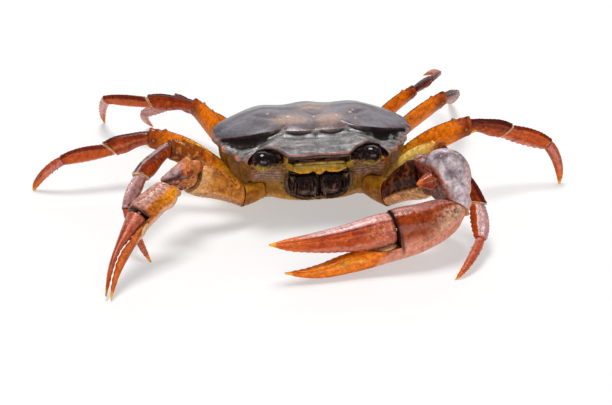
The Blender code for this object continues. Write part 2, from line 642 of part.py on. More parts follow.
def make_face():
    for name, side in (("left", 1), ("right", -1)):
        eye = np.array(EYE_MIDDLE) * (side, 1, 1)
        way = unit(eye - np.array(STALK_ROOT) * (side, 1, 1))
        up = upright(way)
        neck = eye - way * EYE_RADIUS * 0.45
        make_node(f"eyestalk_{name}", stalk_shape(side, 0.0), FACE_SHELL)
        radii = (EYE_RADIUS * 1.05, EYE_RADIUS, EYE_RADIUS)
        ball = ellipsoid(eye, (way, up, np.cross(way, up)), radii, 16, 10, 2.0)
        cut(ball, neck + way * GAP / 2, -way)
        make_node(f"eye_{name}", ball, EYE_GLOSS)

        across = side * (MOUTH_HALF_WIDTH / 2 + 0.05)
        middle = np.array([across, MOUTH_DEPTH_Y - 1.2, (MOUTH_TOP + MOUTH_FOOT) / 2])
        tall = (MOUTH_TOP - MOUTH_FOOT) / 2 - GAP
        half = (MOUTH_HALF_WIDTH - GAP - 0.25) / 2
        x, y = superellipse(14, 3.2)
        rings = []
        for depth, wide in ((0.9, 0.86), (0.5, 1.0), (-0.4, 1.0), (-1.1, 0.8), (-1.3, 0.4)):
            rings.append([middle + (a * half * wide, depth - 0.54 * (b * 0.5 + 0.5), b * wide * tall)
                          for a, b in zip(x, y)])
        make_node(f"maxilliped_{name}", mesh_of_rings(rings), FACE_SHELL)

        inner, outer = ANTENNULE_X
        rings = []
        for k, t in enumerate(np.linspace(0, 1, 5)):
            x = side * (inner + (outer - inner) * t)
            along = np.array([x, -16.0 + 0.5 * t, ANTENNULE_Z + 0.1 * math.sin(math.pi * t)])
            radius = 0.3 + 0.2 * math.sin(math.pi * (0.15 + 0.7 * t))
            a, b = superellipse(8, 2.0)
            rings.append([along + (0, radius * p, radius * q) for p, q in zip(a, b)])
        make_node(f"antennule_{name}", mesh_of_rings(rings), FACE_SHELL)

        base = np.array([side * 6.9, -16.9, 15.6])
        feeler = [(0.0, 0.85), (0.3, 0.7), (0.45, 0.35), (1.0, 0.25)]
        way = unit([side * 0.75, -0.35, 0.35])
        tip = base + way * 4.6
        planes = ((base, way), (tip, way))
        shaft = limb_segment(base, tip, planes, upright(way), feeler, feeler, 2.0, 0.2, 8, 6)
        make_node(f"antenna_{name}", shaft, FACE_SHELL)

    low, high = EPISTOME_Z
    x, y = superellipse(20, 3.0)
    rings = []
    for depth, wide in ((FACE_DEPTH_Y - GAP, 0.96), (-15.5, 1.0), (-16.1, 0.98), (-16.35, 0.85)):
        ring = []
        for a, b in zip(x, y):
            across = a * EPISTOME_HALF_WIDTH * wide
            dip = 0.55 * max(0.0, math.cos(3 * math.pi * a)) if b < 0 else 0.0
            ring.append(np.array([across, depth, (low + high) / 2 + b * (high - low) / 2 * wide - dip]))
        rings.append(ring)
    make_node("epistome", mesh_of_rings(rings), FACE_SHELL)


def claw_frame(claw, side):
    """Origin at the wrist, then the claw's long direction, its up direction and its thickness direction."""
    wrist = np.array(claw["wrist"]) * (side, 1, 1)
    yaw = claw["yaw"]
    along = direction(yaw, claw["pitch"], side)
    straight = upright(along)
    across = np.cross(along, straight)
    lean = math.radians(claw["lean"])
    up = straight * math.cos(lean) + across * math.sin(lean)
    return wrist, along, up, np.cross(along, up)


def claw_loft(frame, stations, thickness, power):
    """A solid through sections of the claw's plane, each given as (distance from the wrist, top, bottom)."""
    wrist, along, up, side = frame
    x, y = superellipse(14, power)
    rings = []
    for u, high, low in stations:
        half, middle = (high - low) / 2, (high + low) / 2
        wide = min(curve(thickness, u), max(half, 0.2) + 1.4)
        rings.append([wrist + along * u + up * (middle + b * half) + side * a * wide for a, b in zip(x, y)])
    return mesh_of_rings(rings)


def make_claw(name, claw):
    side = 1 if name == "left" else -1
    limb = claw["limb"]

    def spot(key):
        return np.array(claw[key]) * (side, 1, 1)

    (_, ischium_end, merus_end), ways = claw_ways(name)
    wrist, along, up, across = claw_frame(claw, side)
    middle = spot("carpus_middle")
    elbow = unit(ways[0] + ways[1])
    far = (ischium_end + elbow * GAP / 2, elbow)
    make_node(f"cheliped_{name}_ischium", ischium_shape(name, 0.0), SHELL_MERUS)
    bend = unit(middle - merus_end)
    knee = unit(ways[1] + bend)
    stop = (merus_end - knee * GAP / 2, knee)
    height = sized([(0.0, 3.1), (0.5, 4.2), (0.85, 4.9), (1.0, 4.4)], limb)
    width = sized([(0.0, 2.6), (0.5, 3.2), (1.0, 3.6)], limb)
    merus = limb_segment(ischium_end, merus_end, (far, stop), upright(ways[1]), height, width,
                         1.9, 0.6, 12, 7)
    make_node(f"cheliped_{name}_merus", merus, SHELL_MERUS)
    long_way = unit(wrist - merus_end)
    rise = middle - (wrist + merus_end) / 2
    carpus_up = unit(rise - long_way * np.dot(rise, long_way))
    axes = (long_way, carpus_up, np.cross(long_way, carpus_up))
    carpus = ellipsoid(middle, axes, claw["carpus_radii"], 18, 12, 2.2)
    cut(carpus, merus_end + knee * GAP / 2, -knee)
    turn = unit(unit(wrist - middle) + along)
    cut(carpus, wrist - turn * GAP / 2, turn)
    inward = axes[2] * side
    root, tip = (middle + long_way * a + carpus_up * b + inward * c for a, b, c in claw["spine"])
    spine = spike(root, tip, SPINE_RADIUS * limb, 6)
    make_node(f"cheliped_{name}_carpus", fused([carpus, spine]), SHELL_CLAW)

    frame = (wrist, along, up, across)
    hinge, reach = claw["hinge"], claw["bottom"][-1][0]
    stations = []
    for t in (0.0, 0.1, 0.25, 0.45, 0.7, 0.9, 1.0):
        u = hinge * t
        stations.append((u, curve(claw["top"], u), curve(claw["bottom"], u)))
    for t in (0.0, 0.12, 0.28, 0.45, 0.62, 0.8, 0.93, 1.0):
        u = hinge + 0.25 + (reach - hinge - 0.25) * t
        stations.append((u, curve(claw["ledge"], u), curve(claw["bottom"], u)))
    palm = claw_loft(frame, stations, claw["thickness"], 2.3)
    cut(palm, wrist + turn * GAP / 2, -turn)
    make_node(f"cheliped_{name}_palm", palm, SHELL_CLAW)

    start, tip = claw["finger_top"][0][0], claw["finger_top"][-1][0]
    stations = []
    for t in (0.0, 0.1, 0.25, 0.42, 0.6, 0.78, 0.92, 1.0):
        u = start + (tip - start) * t
        stations.append((u, curve(claw["finger_top"], u), curve(claw["finger_bottom"], u)))
    finger = claw_loft(frame, stations, claw["finger_thickness"], 2.2)
    make_node(f"cheliped_{name}_finger", finger, SHELL_CLAW)


clear_scene()
crab_collection = bpy.data.collections.new(BODY_NAME)
bpy.context.scene.collection.children.link(crab_collection)
make_carapace()
make_thorax()
make_pleon()
make_face()
for leg_key in LEG_POSES:
    make_leg(leg_key)
for claw_name, claw_sizes in CLAWS.items():
    make_claw(claw_name, claw_sizes)
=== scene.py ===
"""Finer shells, skins, colours and light for the ricefield crab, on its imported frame.

Lengths are in millimetres up to `show`, which turns them into metres in the frame's own place.
A skin is a dictionary with points (n, 3), faces (m, 4, the last -1 on a triangle) and, on lofted
skins, t along the piece and turn round it.
"""

import json
import math

import bpy
import numpy as np
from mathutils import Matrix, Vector

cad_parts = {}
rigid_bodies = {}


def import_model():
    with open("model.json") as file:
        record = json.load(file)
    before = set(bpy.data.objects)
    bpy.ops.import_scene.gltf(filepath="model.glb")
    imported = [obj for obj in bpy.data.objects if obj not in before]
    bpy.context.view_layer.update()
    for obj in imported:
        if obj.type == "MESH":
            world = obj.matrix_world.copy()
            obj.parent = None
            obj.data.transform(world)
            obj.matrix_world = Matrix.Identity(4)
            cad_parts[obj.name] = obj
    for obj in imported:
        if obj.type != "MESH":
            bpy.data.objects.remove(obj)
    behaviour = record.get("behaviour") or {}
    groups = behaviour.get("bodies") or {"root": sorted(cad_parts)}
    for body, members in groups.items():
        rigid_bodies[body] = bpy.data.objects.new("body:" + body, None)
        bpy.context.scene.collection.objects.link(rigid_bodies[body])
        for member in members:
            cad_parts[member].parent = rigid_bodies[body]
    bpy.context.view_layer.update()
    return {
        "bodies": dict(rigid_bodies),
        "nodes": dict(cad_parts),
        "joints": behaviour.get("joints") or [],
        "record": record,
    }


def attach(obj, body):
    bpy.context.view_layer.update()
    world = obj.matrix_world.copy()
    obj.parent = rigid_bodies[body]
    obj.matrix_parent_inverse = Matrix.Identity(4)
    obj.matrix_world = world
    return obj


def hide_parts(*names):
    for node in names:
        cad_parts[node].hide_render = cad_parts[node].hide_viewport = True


MM = 0.001
GAP = 0.3
ORIGIN = np.array([-2.53, 1.14, 0.0])
SOLVER = "MANIFOLD"

# Carapace
FRONT = [(0.0, -16.7, 19.0), (4.0, -17.1, 19.0), (7.2, -16.9, 19.0)]
ORBIT_EDGE = [(7.2, -16.9, 19.0), (9.6, -14.9, 20.0), (12.2, -14.1, 20.6), (15.2, -13.6, 19.0),
              (17.5, -14.6, 16.6)]
TOOTH_NOTCHES = [(17.5, -14.6, 16.6), (18.4, -12.7, 17.2), (20.0, -11.8, 16.8), (20.7, -10.0, 17.7),
                 (23.0, -8.3, 17.9), (23.2, -6.4, 18.5), (25.0, -4.4, 19.0), (24.3, -2.6, 19.0)]
REAR_SIDE = [(24.3, -2.6, 19.0), (24.5, 1.0, 18.7), (23.3, 6.0, 17.6), (20.6, 11.0, 15.9),
             (17.2, 15.4, 14.0), (13.8, 18.6, 12.8), (10.0, 20.0, 12.2), (5.0, 20.5, 12.0),
             (0.0, 20.6, 12.0)]
POLE = (0.0, 1.0)
DOME_TOP = 22.9
DOME_MIDDLE_Y = -3.0
DOME_LENGTHWISE = 0.0151
DOME_ACROSS = 0.00019
LOBES = [(11.5, 1.5, 5.4, 1.25), (0.0, 3.5, 4.2, 0.75), (5.0, -7.0, 3.2, 0.35),
         (12.0, 11.0, 4.6, 0.75), (0.0, 13.0, 4.2, 0.9)]
INNER_CREST = [(0.0, -9.3, 22.0), (3.5, -9.8, 22.0), (7.2, -9.2, 22.0)]
OUTER_CREST = [(0.0, -7.6, 22.3), (7.2, -7.6, 22.3), (9.0, -8.5, 22.3), (11.5, -9.5, 22.2),
               (13.5, -9.8, 22.1), (16.0, -9.3, 21.4), (18.7, -8.2, 20.6), (22.5, -6.2, 19.6),
               (25.0, -4.4, 19.0)]
CREST_STEP = 0.9
EDGE = 1.3
RIM = 0.945
UNDER_MIDDLE_Z, UNDER_SLOPE = 15.9, 0.07

# Thorax
STERNUM_HALF_WIDTH = 15.0
STERNUM_FRONT, STERNUM_REAR = -15.0, 15.0
STERNUM_POWER = 2.6
STERNUM_SEAMS = (-9.5, -4.0, 2.0, 8.0, 12.5)
WALL_FOOT_Z = 5.6
BELLY_Z = 4.4
COXA_HEIGHT = [(0.0, 2.6), (0.6, 2.5), (1.0, 2.0)]
COXA_WIDTH = [(0.0, 2.2), (0.6, 1.9), (1.0, 1.4)]
THORAX_VOXEL = 0.2
# The pleon's middle line as y and z, from the carapace forwards
PLEON_PATH = [(20.2, 9.6), (18.6, 6.6), (16.2, 4.8), (13.0, 3.8), (8.0, 3.5), (2.0, 3.5), (-3.0, 3.5),
              (-6.0, 3.6)]
PLEON_HALF_WIDTH = [(0.0, 4.4), (0.05, 6.6), (0.12, 7.0), (0.2, 6.5), (0.35, 5.6), (0.6, 3.6), (0.85, 2.2),
                    (1.0, 0.9)]
PLEON_HALF_DEPTH = 0.45
PLEON_SEAMS = (0.08, 0.155, 0.27, 0.39, 0.51, 0.64, 0.78)

# Walking legs
LEG_LENGTHS = {2: (21.3, 15.2, 10.4, 13.6), 3: (24.6, 10.6, 12.1, 11.8), 4: (23.5, 12.9, 13.8, 13.8),
               5: (20.1, 9.3, 9.8, 10.2)}
LEG_ROOTS = {2: (12.5, -5.0, 8.2), 3: (13.5, 0.5, 8.2), 4: (13.0, 6.0, 8.2), 5: (10.5, 11.0, 8.6)}
LEG_HIPS = {2: (17.5, -7.5, 6.0), 3: (19.5, -0.5, 5.8), 4: (17.9, 8.0, 6.6), 5: (14.5, 14.0, 8.0)}
LEG_GIRTH = {2: 1.0, 3: 1.06, 4: 0.97, 5: 0.8}
CLAW_COXA_LENGTH, COXA_SINK = 3.0, 3.0
LEG_POSES = {
    "2_right": [(17, 27), (-59, -4), (-66, -23), (-124, -52)],
    "2_left": [(-44, 36), (-57, -38), (-97, -26), (-128, -20)],
    "3_right": [(30, 17), (-4, -13), (-4, -9), (12, -48)],
    "3_left": [(-13, 32), (13, -18), (-2, -21), (-4, -72)],
    "4_right": [(66, 17), (30, -5), (32, -7), (85, -52)],
    "4_left": [(23, 26), (63, -20), (77, -26), (82, -28)],
    "5_right": [(60, 4), (45, 10), (11, -24), (109, -43)],
    "5_left": [(26, 27), (53, -5), (62, -9), (101, -23)],
}
LIFTED = ["5_left"]
UPRIGHT_SHARE = (2.0, 0.5, 0.4, 0.4)
JOINT_SLANT = 0.75
MERUS_HEIGHT = [(0.0, 1.9), (0.2, 2.4), (0.5, 3.05), (0.8, 2.7), (1.0, 2.15)]
MERUS_WIDTH = [(0.0, 1.3), (0.5, 1.45), (0.85, 1.5), (1.0, 1.35)]
CARPUS_HEIGHT = [(0.0, 1.45), (0.3, 1.7), (0.75, 2.2), (1.0, 1.85)]
CARPUS_WIDTH = [(0.0, 1.1), (0.5, 1.35), (1.0, 1.2)]
PROPODUS_HEIGHT = [(0.0, 1.75), (0.45, 2.1), (0.85, 1.7), (1.0, 1.3)]
PROPODUS_WIDTH = [(0.0, 1.15), (0.5, 1.1), (1.0, 0.85)]
DACTYL_HEIGHT = [(0.0, 1.2), (0.3, 1.2), (0.7, 0.85), (0.93, 0.42), (1.0, 0.28)]
DACTYL_WIDTH = [(0.0, 0.9), (0.3, 0.95), (0.7, 0.7), (0.93, 0.36), (1.0, 0.26)]
MERUS_BOW, CARPUS_BOW, PROPODUS_BOW, DACTYL_BOW = 0.9, 0.3, 0.2, 1.0
MERUS_POWER = 1.7
# Height, width, power, bow, points round it and levels of each segment
LEG_SHAPES = [("merus", MERUS_HEIGHT, MERUS_WIDTH, MERUS_POWER, MERUS_BOW, 56, 150),
              ("carpus", CARPUS_HEIGHT, CARPUS_WIDTH, 1.9, CARPUS_BOW, 56, 90),
              ("propodus", PROPODUS_HEIGHT, PROPODUS_WIDTH, 1.9, PROPODUS_BOW, 56, 90),
              ("dactyl", DACTYL_HEIGHT, DACTYL_WIDTH, 1.8, DACTYL_BOW, 48, 110)]

# Chelipeds
CLAWS = {
    "left": {
        "root": (10.8, -10.0, 7.6), "ischium_end": (16.8, -17.8, 7.6), "merus_end": (24.6, -24.9, 14.6),
        "wrist": (30.8, -36.2, 11.2), "limb": 1.0, "carpus_middle": (28.2, -30.2, 17.5),
        "carpus_radii": (6.6, 6.4, 4.9), "spine": ((-0.6, -1.0, 3.4), (-0.8, -1.4, 8.8)),
        "yaw": -168.0, "pitch": -7.6, "lean": 14.0,
        "top": [(0.0, 2.9), (4.0, 3.9), (10.5, 4.4), (15.0, 4.9), (17.2, 4.9)],
        "bottom": [(0.0, -1.6), (2.0, -3.8), (4.6, -5.2), (9.0, -6.4), (13.0, -7.0), (20.7, -7.0),
                   (29.8, -6.8), (37.4, -5.8), (42.0, -4.2), (45.0, -2.6)],
        "ledge": [(17.2, -3.3), (22.9, -3.1), (26.0, -2.3), (30.5, -2.3), (36.2, -2.8), (42.0, -2.6),
                  (45.0, -2.2)],
        "hinge": 17.2,
        "thickness": [(0.0, 2.6), (5.0, 4.2), (12.0, 4.8), (17.2, 4.2), (27.0, 2.7), (38.0, 1.7),
                      (45.0, 0.3)],
        "finger_top": [(17.6, 4.6), (20.5, 4.8), (29.5, 4.7), (37.0, 5.0), (43.0, 5.4), (47.2, 5.5)],
        "finger_bottom": [(17.6, -2.9), (23.6, -2.7), (30.8, -1.3), (37.9, 0.7), (43.0, 2.6), (47.2, 5.0)],
        "finger_thickness": [(17.6, 3.6), (24.0, 3.0), (33.0, 2.2), (42.0, 1.2), (47.2, 0.25)],
    },
    "right": {
        "root": (10.8, -10.0, 7.6), "ischium_end": (19.0, -14.0, 7.4), "merus_end": (31.0, -15.6, 13.6),
        "wrist": (36.2, -26.3, 16.0), "limb": 0.82, "carpus_middle": (34.6, -20.2, 17.4),
        "carpus_radii": (5.0, 4.4, 4.2), "spine": ((1.4, 0.0, 1.8), (4.6, 0.2, 4.4)),
        "yaw": -52.0, "pitch": -29.0, "lean": 59.0,
        "top": [(0.0, 4.3), (4.6, 6.0), (7.9, 6.9), (9.8, 6.8)],
        "bottom": [(0.0, -1.2), (1.6, -1.8), (3.8, -1.7), (5.2, -0.9), (8.3, -0.2), (10.6, 0.3), (15.2, 0.8),
                   (20.5, 0.8), (24.8, 0.5), (29.4, -0.4), (31.4, -0.9)],
        "ledge": [(9.8, 1.3), (13.9, 2.2), (16.8, 2.6), (19.4, 2.9), (21.8, 2.7), (24.9, 2.0), (29.4, 0.4),
                  (31.4, -0.6)],
        "hinge": 9.8,
        "thickness": [(0.0, 1.9), (4.0, 2.6), (8.0, 2.9), (9.8, 2.6), (16.0, 1.7), (26.0, 1.0),
                      (31.4, 0.25)],
        "finger_top": [(10.2, 6.5), (11.5, 6.4), (13.9, 6.0), (19.2, 5.0), (24.8, 3.7), (29.2, 1.9),
                       (31.2, 0.9)],
        "finger_bottom": [(10.2, 1.7), (13.9, 2.6), (16.8, 3.0), (19.4, 3.3), (21.8, 3.1), (24.9, 2.4),
                          (29.0, 1.2), (31.2, 0.5)],
        "finger_thickness": [(10.2, 2.3), (15.0, 1.9), (21.0, 1.3), (28.0, 0.7), (31.2, 0.25)],
    },
}
ISCHIUM_HEIGHT = [(0.0, 2.6), (0.5, 3.1), (1.0, 3.2)]
ISCHIUM_WIDTH = [(0.0, 2.0), (0.5, 2.4), (1.0, 2.6)]
CLAW_MERUS_HEIGHT = [(0.0, 3.1), (0.5, 4.2), (0.85, 4.9), (1.0, 4.4)]
CLAW_MERUS_WIDTH = [(0.0, 2.6), (0.5, 3.2), (1.0, 3.6)]
MERUS_RIDGE = {"left": -15.0, "right": 195.0}
# Share of the way to the wrist, radius and lift of the lobes that lead there
WRIST_LOBES = [(0.45, 4.1, 1.0), (0.82, 3.0, 0.5)]
ELBOW_LOBE = (2.7, 2.2, 3.0)
# Direction and distance of the flats on each cheliped's carpus
CARPUS_FACETS = {"left": [(-0.9, -0.38, -0.22, 3.6), (0.15, -0.75, 0.64, 4.7)],
                 "right": [(0.1, -0.85, -0.5, 2.2), (-0.35, -0.45, 0.84, 2.1), (-0.61, 0.36, 0.7, 2.0)]}
CARPUS_TOOTH = {"left": (0.88, 2.3), "right": (0.8, 1.2)}
CARPUS_VOXEL = 0.16

# Face
EYE_MIDDLE = (13.3, -15.6, 17.2)
EYE_RADIUS = 2.3
STALK_ROOT = (8.6, -14.4, 16.8)
STALK_RADII = (1.15, 1.6)
ORBIT_RADII = (4.6, 3.6, 2.9)
ORBIT_MIDDLE = (12.9, -15.6, 16.9)
MOUTH_HALF_WIDTH = 8.2
MOUTH_TOP, MOUTH_FOOT = 13.2, 6.9
MOUTH_DEPTH_Y = -13.4
EPISTOME_HALF_WIDTH = 7.05
EPISTOME_Z = (13.6, 16.5)
FACE_HALF_WIDTH = 7.3
FACE_DEPTH_Y = -14.7
ANTENNULE_X = (1.1, 5.0)
ANTENNULE_Z = 16.8
ANTENNA_ROOT = (6.9, -16.9, 15.6)
ANTENNA_WAY = (0.75, -0.35, 0.35)
ANTENNA_LENGTH = 4.6
ANTENNA_RADIUS = [(0.0, 0.85), (0.3, 0.7), (0.45, 0.35), (1.0, 0.25)]
EYE_SHIFT = np.array([-0.5, -0.1, 0.05])
EYE_BALL = 2.55
NECK_SHARE = 0.45
STALK_SWELL = [(0.45, 1.75), (0.75, 2.1), (1.0, 2.33)]
LOWER_ORBIT, LOWER_ORBIT_RADII = (12.7, -16.6, 15.6), (3.9, 2.6, 2.1)
MOUTH_HOLLOW, MOUTH_HOLLOW_RADII = (0.0, -17.8, 10.1), (9.3, 4.6, 3.7)
MOUTH_POWER = 2.7
# Depth of each ring of the epistome and its share of the full width
EPISTOME_RINGS = [(FACE_DEPTH_Y - GAP, 0.96), (-15.2, 0.99), (-15.5, 1.0), (-15.9, 1.0), (-16.1, 0.98),
                  (-16.22, 0.95), (-16.3, 0.9), (-16.35, 0.82), (-16.36, 0.7), (-16.36, 0.5), (-16.34, 0.3),
                  (-16.32, 0.1)]

# Marks on the carapace: patches as middle and radii, spots as middle and radius
WARM_PATCHES = [(-5.6, -4.9, 4.7, 2.5), (3.9, -5.3, 3.4, 3.0), (1.2, 3.4, 4.4, 2.5)]
LIGHT_SPOTS = [(-10.9, -1.6, 0.4), (-6.0, -3.2, 0.6), (-5.4, -9.3, 0.3), (0.4, -3.4, 0.35),
               (10.5, -5.6, 0.35), (9.5, -2.9, 0.45), (1.9, -9.3, 0.3), (10.4, -1.9, 0.3),
               (-8.2, -4.6, 0.3), (6.1, -4.0, 0.3)]

# Colours
NIGHT = (0.012, 0.008, 0.01)
PLUM = (0.07, 0.052, 0.062)
SLATE = (0.13, 0.125, 0.148)
LILAC = (0.4, 0.3, 0.31)
UMBER = (0.17, 0.06, 0.02)
RUST = (0.33, 0.065, 0.008)
CREAM = (0.7, 0.5, 0.3)
MAROON = (0.06, 0.006, 0.003)
MAHOGANY = (0.2, 0.025, 0.008)
BRICK = (0.38, 0.055, 0.012)
ORANGE = (0.62, 0.13, 0.003)
AMBER = (0.72, 0.2, 0.004)
YELLOW = (0.68, 0.36, 0.03)
OLIVE = (0.13, 0.065, 0.006)
MOSS = (0.26, 0.16, 0.012)
PINK = (0.5, 0.17, 0.13)
TAN = (0.42, 0.17, 0.06)
# Near-black: the maxillipeds' own dark tone, and painted shade in and round the mouth
BLACK_AND_SHADE = (0.006, 0.003, 0.003)
PEAT = (0.03, 0.01, 0.006)
ASH = (0.3, 0.285, 0.28)
GOLD = (0.75, 0.3, 0.02)
HORN = (0.8, 0.42, 0.05)
WHITE = (1.0, 1.0, 1.0, 1.0)
FLOOR_GREY = (0.42, 0.42, 0.42, 1.0)
FLOOR_GLOW = 0.46
# How far light of each colour goes under the shell, as shares of the depth
FLESH_RADIUS, FLESH_DEPTH = (1.0, 0.45, 0.25), 0.6
BUMP_DEPTH = 0.05


def unit(v):
    v = np.asarray(v, float)
    return v / np.linalg.norm(v)


def curve(knots, t):
    """A smooth curve through (t, value) pairs."""
    xs, ys = np.array(knots, float).T
    slopes = np.gradient(ys, xs)
    t = np.asarray(t, float)
    i = np.clip(np.searchsorted(xs, t, side="right") - 1, 0, len(xs) - 2)
    span = xs[i + 1] - xs[i]
    s = np.clip((t - xs[i]) / span, 0.0, 1.0)
    start = (1 + 2 * s) * (1 - s) ** 2 * ys[i] + s * (1 - s) ** 2 * span * slopes[i]
    end = s * s * (3 - 2 * s) * ys[i + 1] + s * s * (s - 1) * span * slopes[i + 1]
    return start + end


def smooth(low, high, x):
    s = np.clip((x - low) / (high - low), 0.0, 1.0)
    return s * s * (3 - 2 * s)


def bell(x, middle, width):
    return np.exp(-((x - middle) / width) ** 2)


def mix(a, b, share):
    share = np.clip(share, 0.0, 1.0)[..., None]
    return np.asarray(a) * (1 - share) + np.asarray(b) * share


def coats(base, layers):
    """The base with layers of (colour, share) laid over it one after another."""
    for colour, share in layers:
        base = mix(base, colour, share)
    return base


def side_of(name):
    return 1 if name.endswith("left") else -1


def on_side(point, side):
    """A point of the left half, or its mirror image on the right."""
    return np.array(point) * (side, 1, 1)


def hashed(cell, seed):
    """A number from 0 to 1 for each cell of a lattice."""
    x, y, z = (cell[..., k].astype(np.int64).astype(np.uint32) for k in range(3))
    h = x * np.uint32(374761393) ^ y * np.uint32(668265263) ^ z * np.uint32(2246822519)
    h = (h ^ np.uint32(seed * 7919 + 17)) * np.uint32(1274126177)
    h = (h ^ (h >> np.uint32(13))) * np.uint32(2654435761)
    return (h ^ (h >> np.uint32(16))) / 4294967295.0


def noise(p, size, seed=0):
    """Smooth noise from -1 to 1 with features of about `size`."""
    q = p / size + 100.0
    cell = np.floor(q)
    f = q - cell
    f = f * f * (3 - 2 * f)
    total = np.zeros(len(p))
    for corner in np.ndindex(2, 2, 2):
        weight = np.prod(np.where(corner, f, 1 - f), axis=1)
        total += weight * hashed(cell + corner, seed)
    return total * 2 - 1


def cloud(p, size, seed=0):
    return (noise(p, size, seed) * 0.6 + noise(p, size * 0.5, seed + 1) * 0.3
            + noise(p, size * 0.25, seed + 2) * 0.15)


def grains(p, size, seed=0):
    """Rounded grains, 1 at the top of each and 0 between them."""
    q = p / size + 100.0
    cell = np.floor(q)
    nearest = np.full(len(p), 9.0)
    for corner in np.ndindex(3, 3, 3):
        other = cell + corner - 1
        spot = other + np.stack([hashed(other, seed + k) for k in range(3)], -1) * 0.7 + 0.15
        nearest = np.minimum(nearest, ((spot - q) ** 2).sum(-1))
    return np.clip(1 - nearest / 0.22, 0.0, 1.0)


def turns(around):
    """Angles of the points round a ring."""
    return (np.arange(around) + 0.5) / around * 2 * math.pi


def superellipse(around, power):
    angles = turns(around)
    c, s = np.cos(angles), np.sin(angles)
    return np.sign(c) * abs(c) ** (2 / power), np.sign(s) * abs(s) ** (2 / power)


def loft(rings, t=None):
    """A closed skin through rings (levels, around, 3), a fan at each end."""
    levels, around = rings.shape[:2]
    index = np.arange(levels * around).reshape(levels, around)
    after = np.roll(index, -1, axis=1)
    quads = np.stack([index[:-1], after[:-1], after[1:], index[1:]], -1).reshape(-1, 4)
    ends = [levels * around, levels * around + 1]
    fan_a = np.stack([after[0], index[0], np.full(around, ends[0]), np.full(around, -1)], -1)
    fan_b = np.stack([index[-1], after[-1], np.full(around, ends[1]), np.full(around, -1)], -1)
    points = np.concatenate([rings.reshape(-1, 3), rings[0].mean(0)[None], rings[-1].mean(0)[None]])
    faces = np.concatenate([quads, fan_a, fan_b])
    turn = np.tile(turns(around), levels)
    t = np.linspace(0, 1, levels) if t is None else np.asarray(t)
    skin = {"points": points, "faces": faces, "t": np.concatenate([np.repeat(t, around), [t[0], t[-1]]]),
            "turn": np.concatenate([turn, [0.0, 0.0]])}
    return outward(skin)


def corners_of(skin):
    a, b, c, d = skin["faces"].T
    p = skin["points"]
    last = np.where(d < 0, c, d)
    return p[a], p[b], p[c], p[last]


def outward(skin):
    a, b, c, d = corners_of(skin)
    volume = np.einsum("ij,ij->i", a, np.cross(b, c)).sum() + np.einsum("ij,ij->i", a, np.cross(c, d)).sum()
    if volume < 0:
        faces = skin["faces"]
        quads = faces[:, 3] >= 0
        faces[quads] = faces[quads][:, ::-1]
        faces[~quads, :3] = faces[~quads, 2::-1]
    return skin


def normals_of(skin):
    a, b, c, d = corners_of(skin)
    flat = np.cross(c - a, d - b)
    flat += np.where((skin["faces"][:, 3] < 0)[:, None], np.cross(b - a, c - a) - flat, 0)
    total = np.zeros_like(skin["points"])
    for k in range(4):
        at = skin["faces"][:, k]
        some = at >= 0
        for axis in range(3):
            total[:, axis] += np.bincount(at[some], flat[some, axis], minlength=len(total))
    return total / np.maximum(np.linalg.norm(total, axis=1, keepdims=True), 1e-12)


def raised(skin, height):
    """The skin moved along its normals."""
    skin["points"] = skin["points"] + normals_of(skin) * height[:, None]
    return skin


def roughened(skin, height, size, seed):
    return raised(skin, height * cloud(skin["points"], size, seed))


def mesh_of(name, skin, scale=1.0, shift=(0.0, 0.0, 0.0)):
    mesh = bpy.data.meshes.new(name)
    faces = skin["faces"]
    corners = faces[faces >= 0]
    counts = (faces >= 0).sum(1)
    mesh.vertices.add(len(skin["points"]))
    mesh.vertices.foreach_set("co", ((skin["points"] - shift) * scale).astype(np.float32).ravel())
    mesh.loops.add(len(corners))
    mesh.loops.foreach_set("vertex_index", corners.astype(np.int32))
    mesh.polygons.add(len(faces))
    mesh.polygons.foreach_set("loop_start", np.concatenate([[0], np.cumsum(counts)[:-1]]).astype(np.int32))
    mesh.update(calc_edges=True)
    mesh.validate()
    return mesh


def worked(skins, cutters=(), voxel=0.0, smoothing=0):
    """The union of skins less the cutters, as one skin, remeshed at voxel where that is given."""
    helpers = []

    def helper(skin):
        thing = bpy.data.objects.new("helper", mesh_of("helper", skin))
        bpy.context.scene.collection.objects.link(thing)
        helpers.append(thing)
        return thing

    whole = helper(skins[0])
    for operation, others in (("UNION", skins[1:]), ("DIFFERENCE", cutters)):
        for other in others:
            change = whole.modifiers.new(operation, "BOOLEAN")
            change.operation = operation
            change.solver = SOLVER
            change.object = helper(other)
    if voxel:
        change = whole.modifiers.new("even", "REMESH")
        change.mode = "VOXEL"
        change.voxel_size = voxel
    if smoothing:
        change = whole.modifiers.new("soft", "SMOOTH")
        change.factor = 0.5
        change.iterations = smoothing
    graph = bpy.context.evaluated_depsgraph_get()
    mesh = whole.evaluated_get(graph).to_mesh()
    points = np.empty(len(mesh.vertices) * 3, np.float32)
    mesh.vertices.foreach_get("co", points)
    faces = np.full((len(mesh.polygons), 4), -1)
    if all(len(p.vertices) <= 4 for p in mesh.polygons):
        starts = np.empty(len(mesh.polygons), np.int32)
        totals = np.empty(len(mesh.polygons), np.int32)
        corner = np.empty(len(mesh.loops), np.int32)
        mesh.polygons.foreach_get("loop_start", starts)
        mesh.polygons.foreach_get("loop_total", totals)
        mesh.loops.foreach_get("vertex_index", corner)
        for k in range(4):
            some = totals > k
            faces[some, k] = corner[starts[some] + k]
    else:
        mesh.calc_loop_triangles()
        triangles = np.empty(len(mesh.loop_triangles) * 3, np.int32)
        mesh.loop_triangles.foreach_get("vertices", triangles)
        faces = np.full((len(mesh.loop_triangles), 4), -1)
        faces[:, :3] = triangles.reshape(-1, 3)
    for thing in helpers:
        bpy.data.objects.remove(thing, do_unlink=True)
    return {"points": points.reshape(-1, 3).astype(float), "faces": faces}


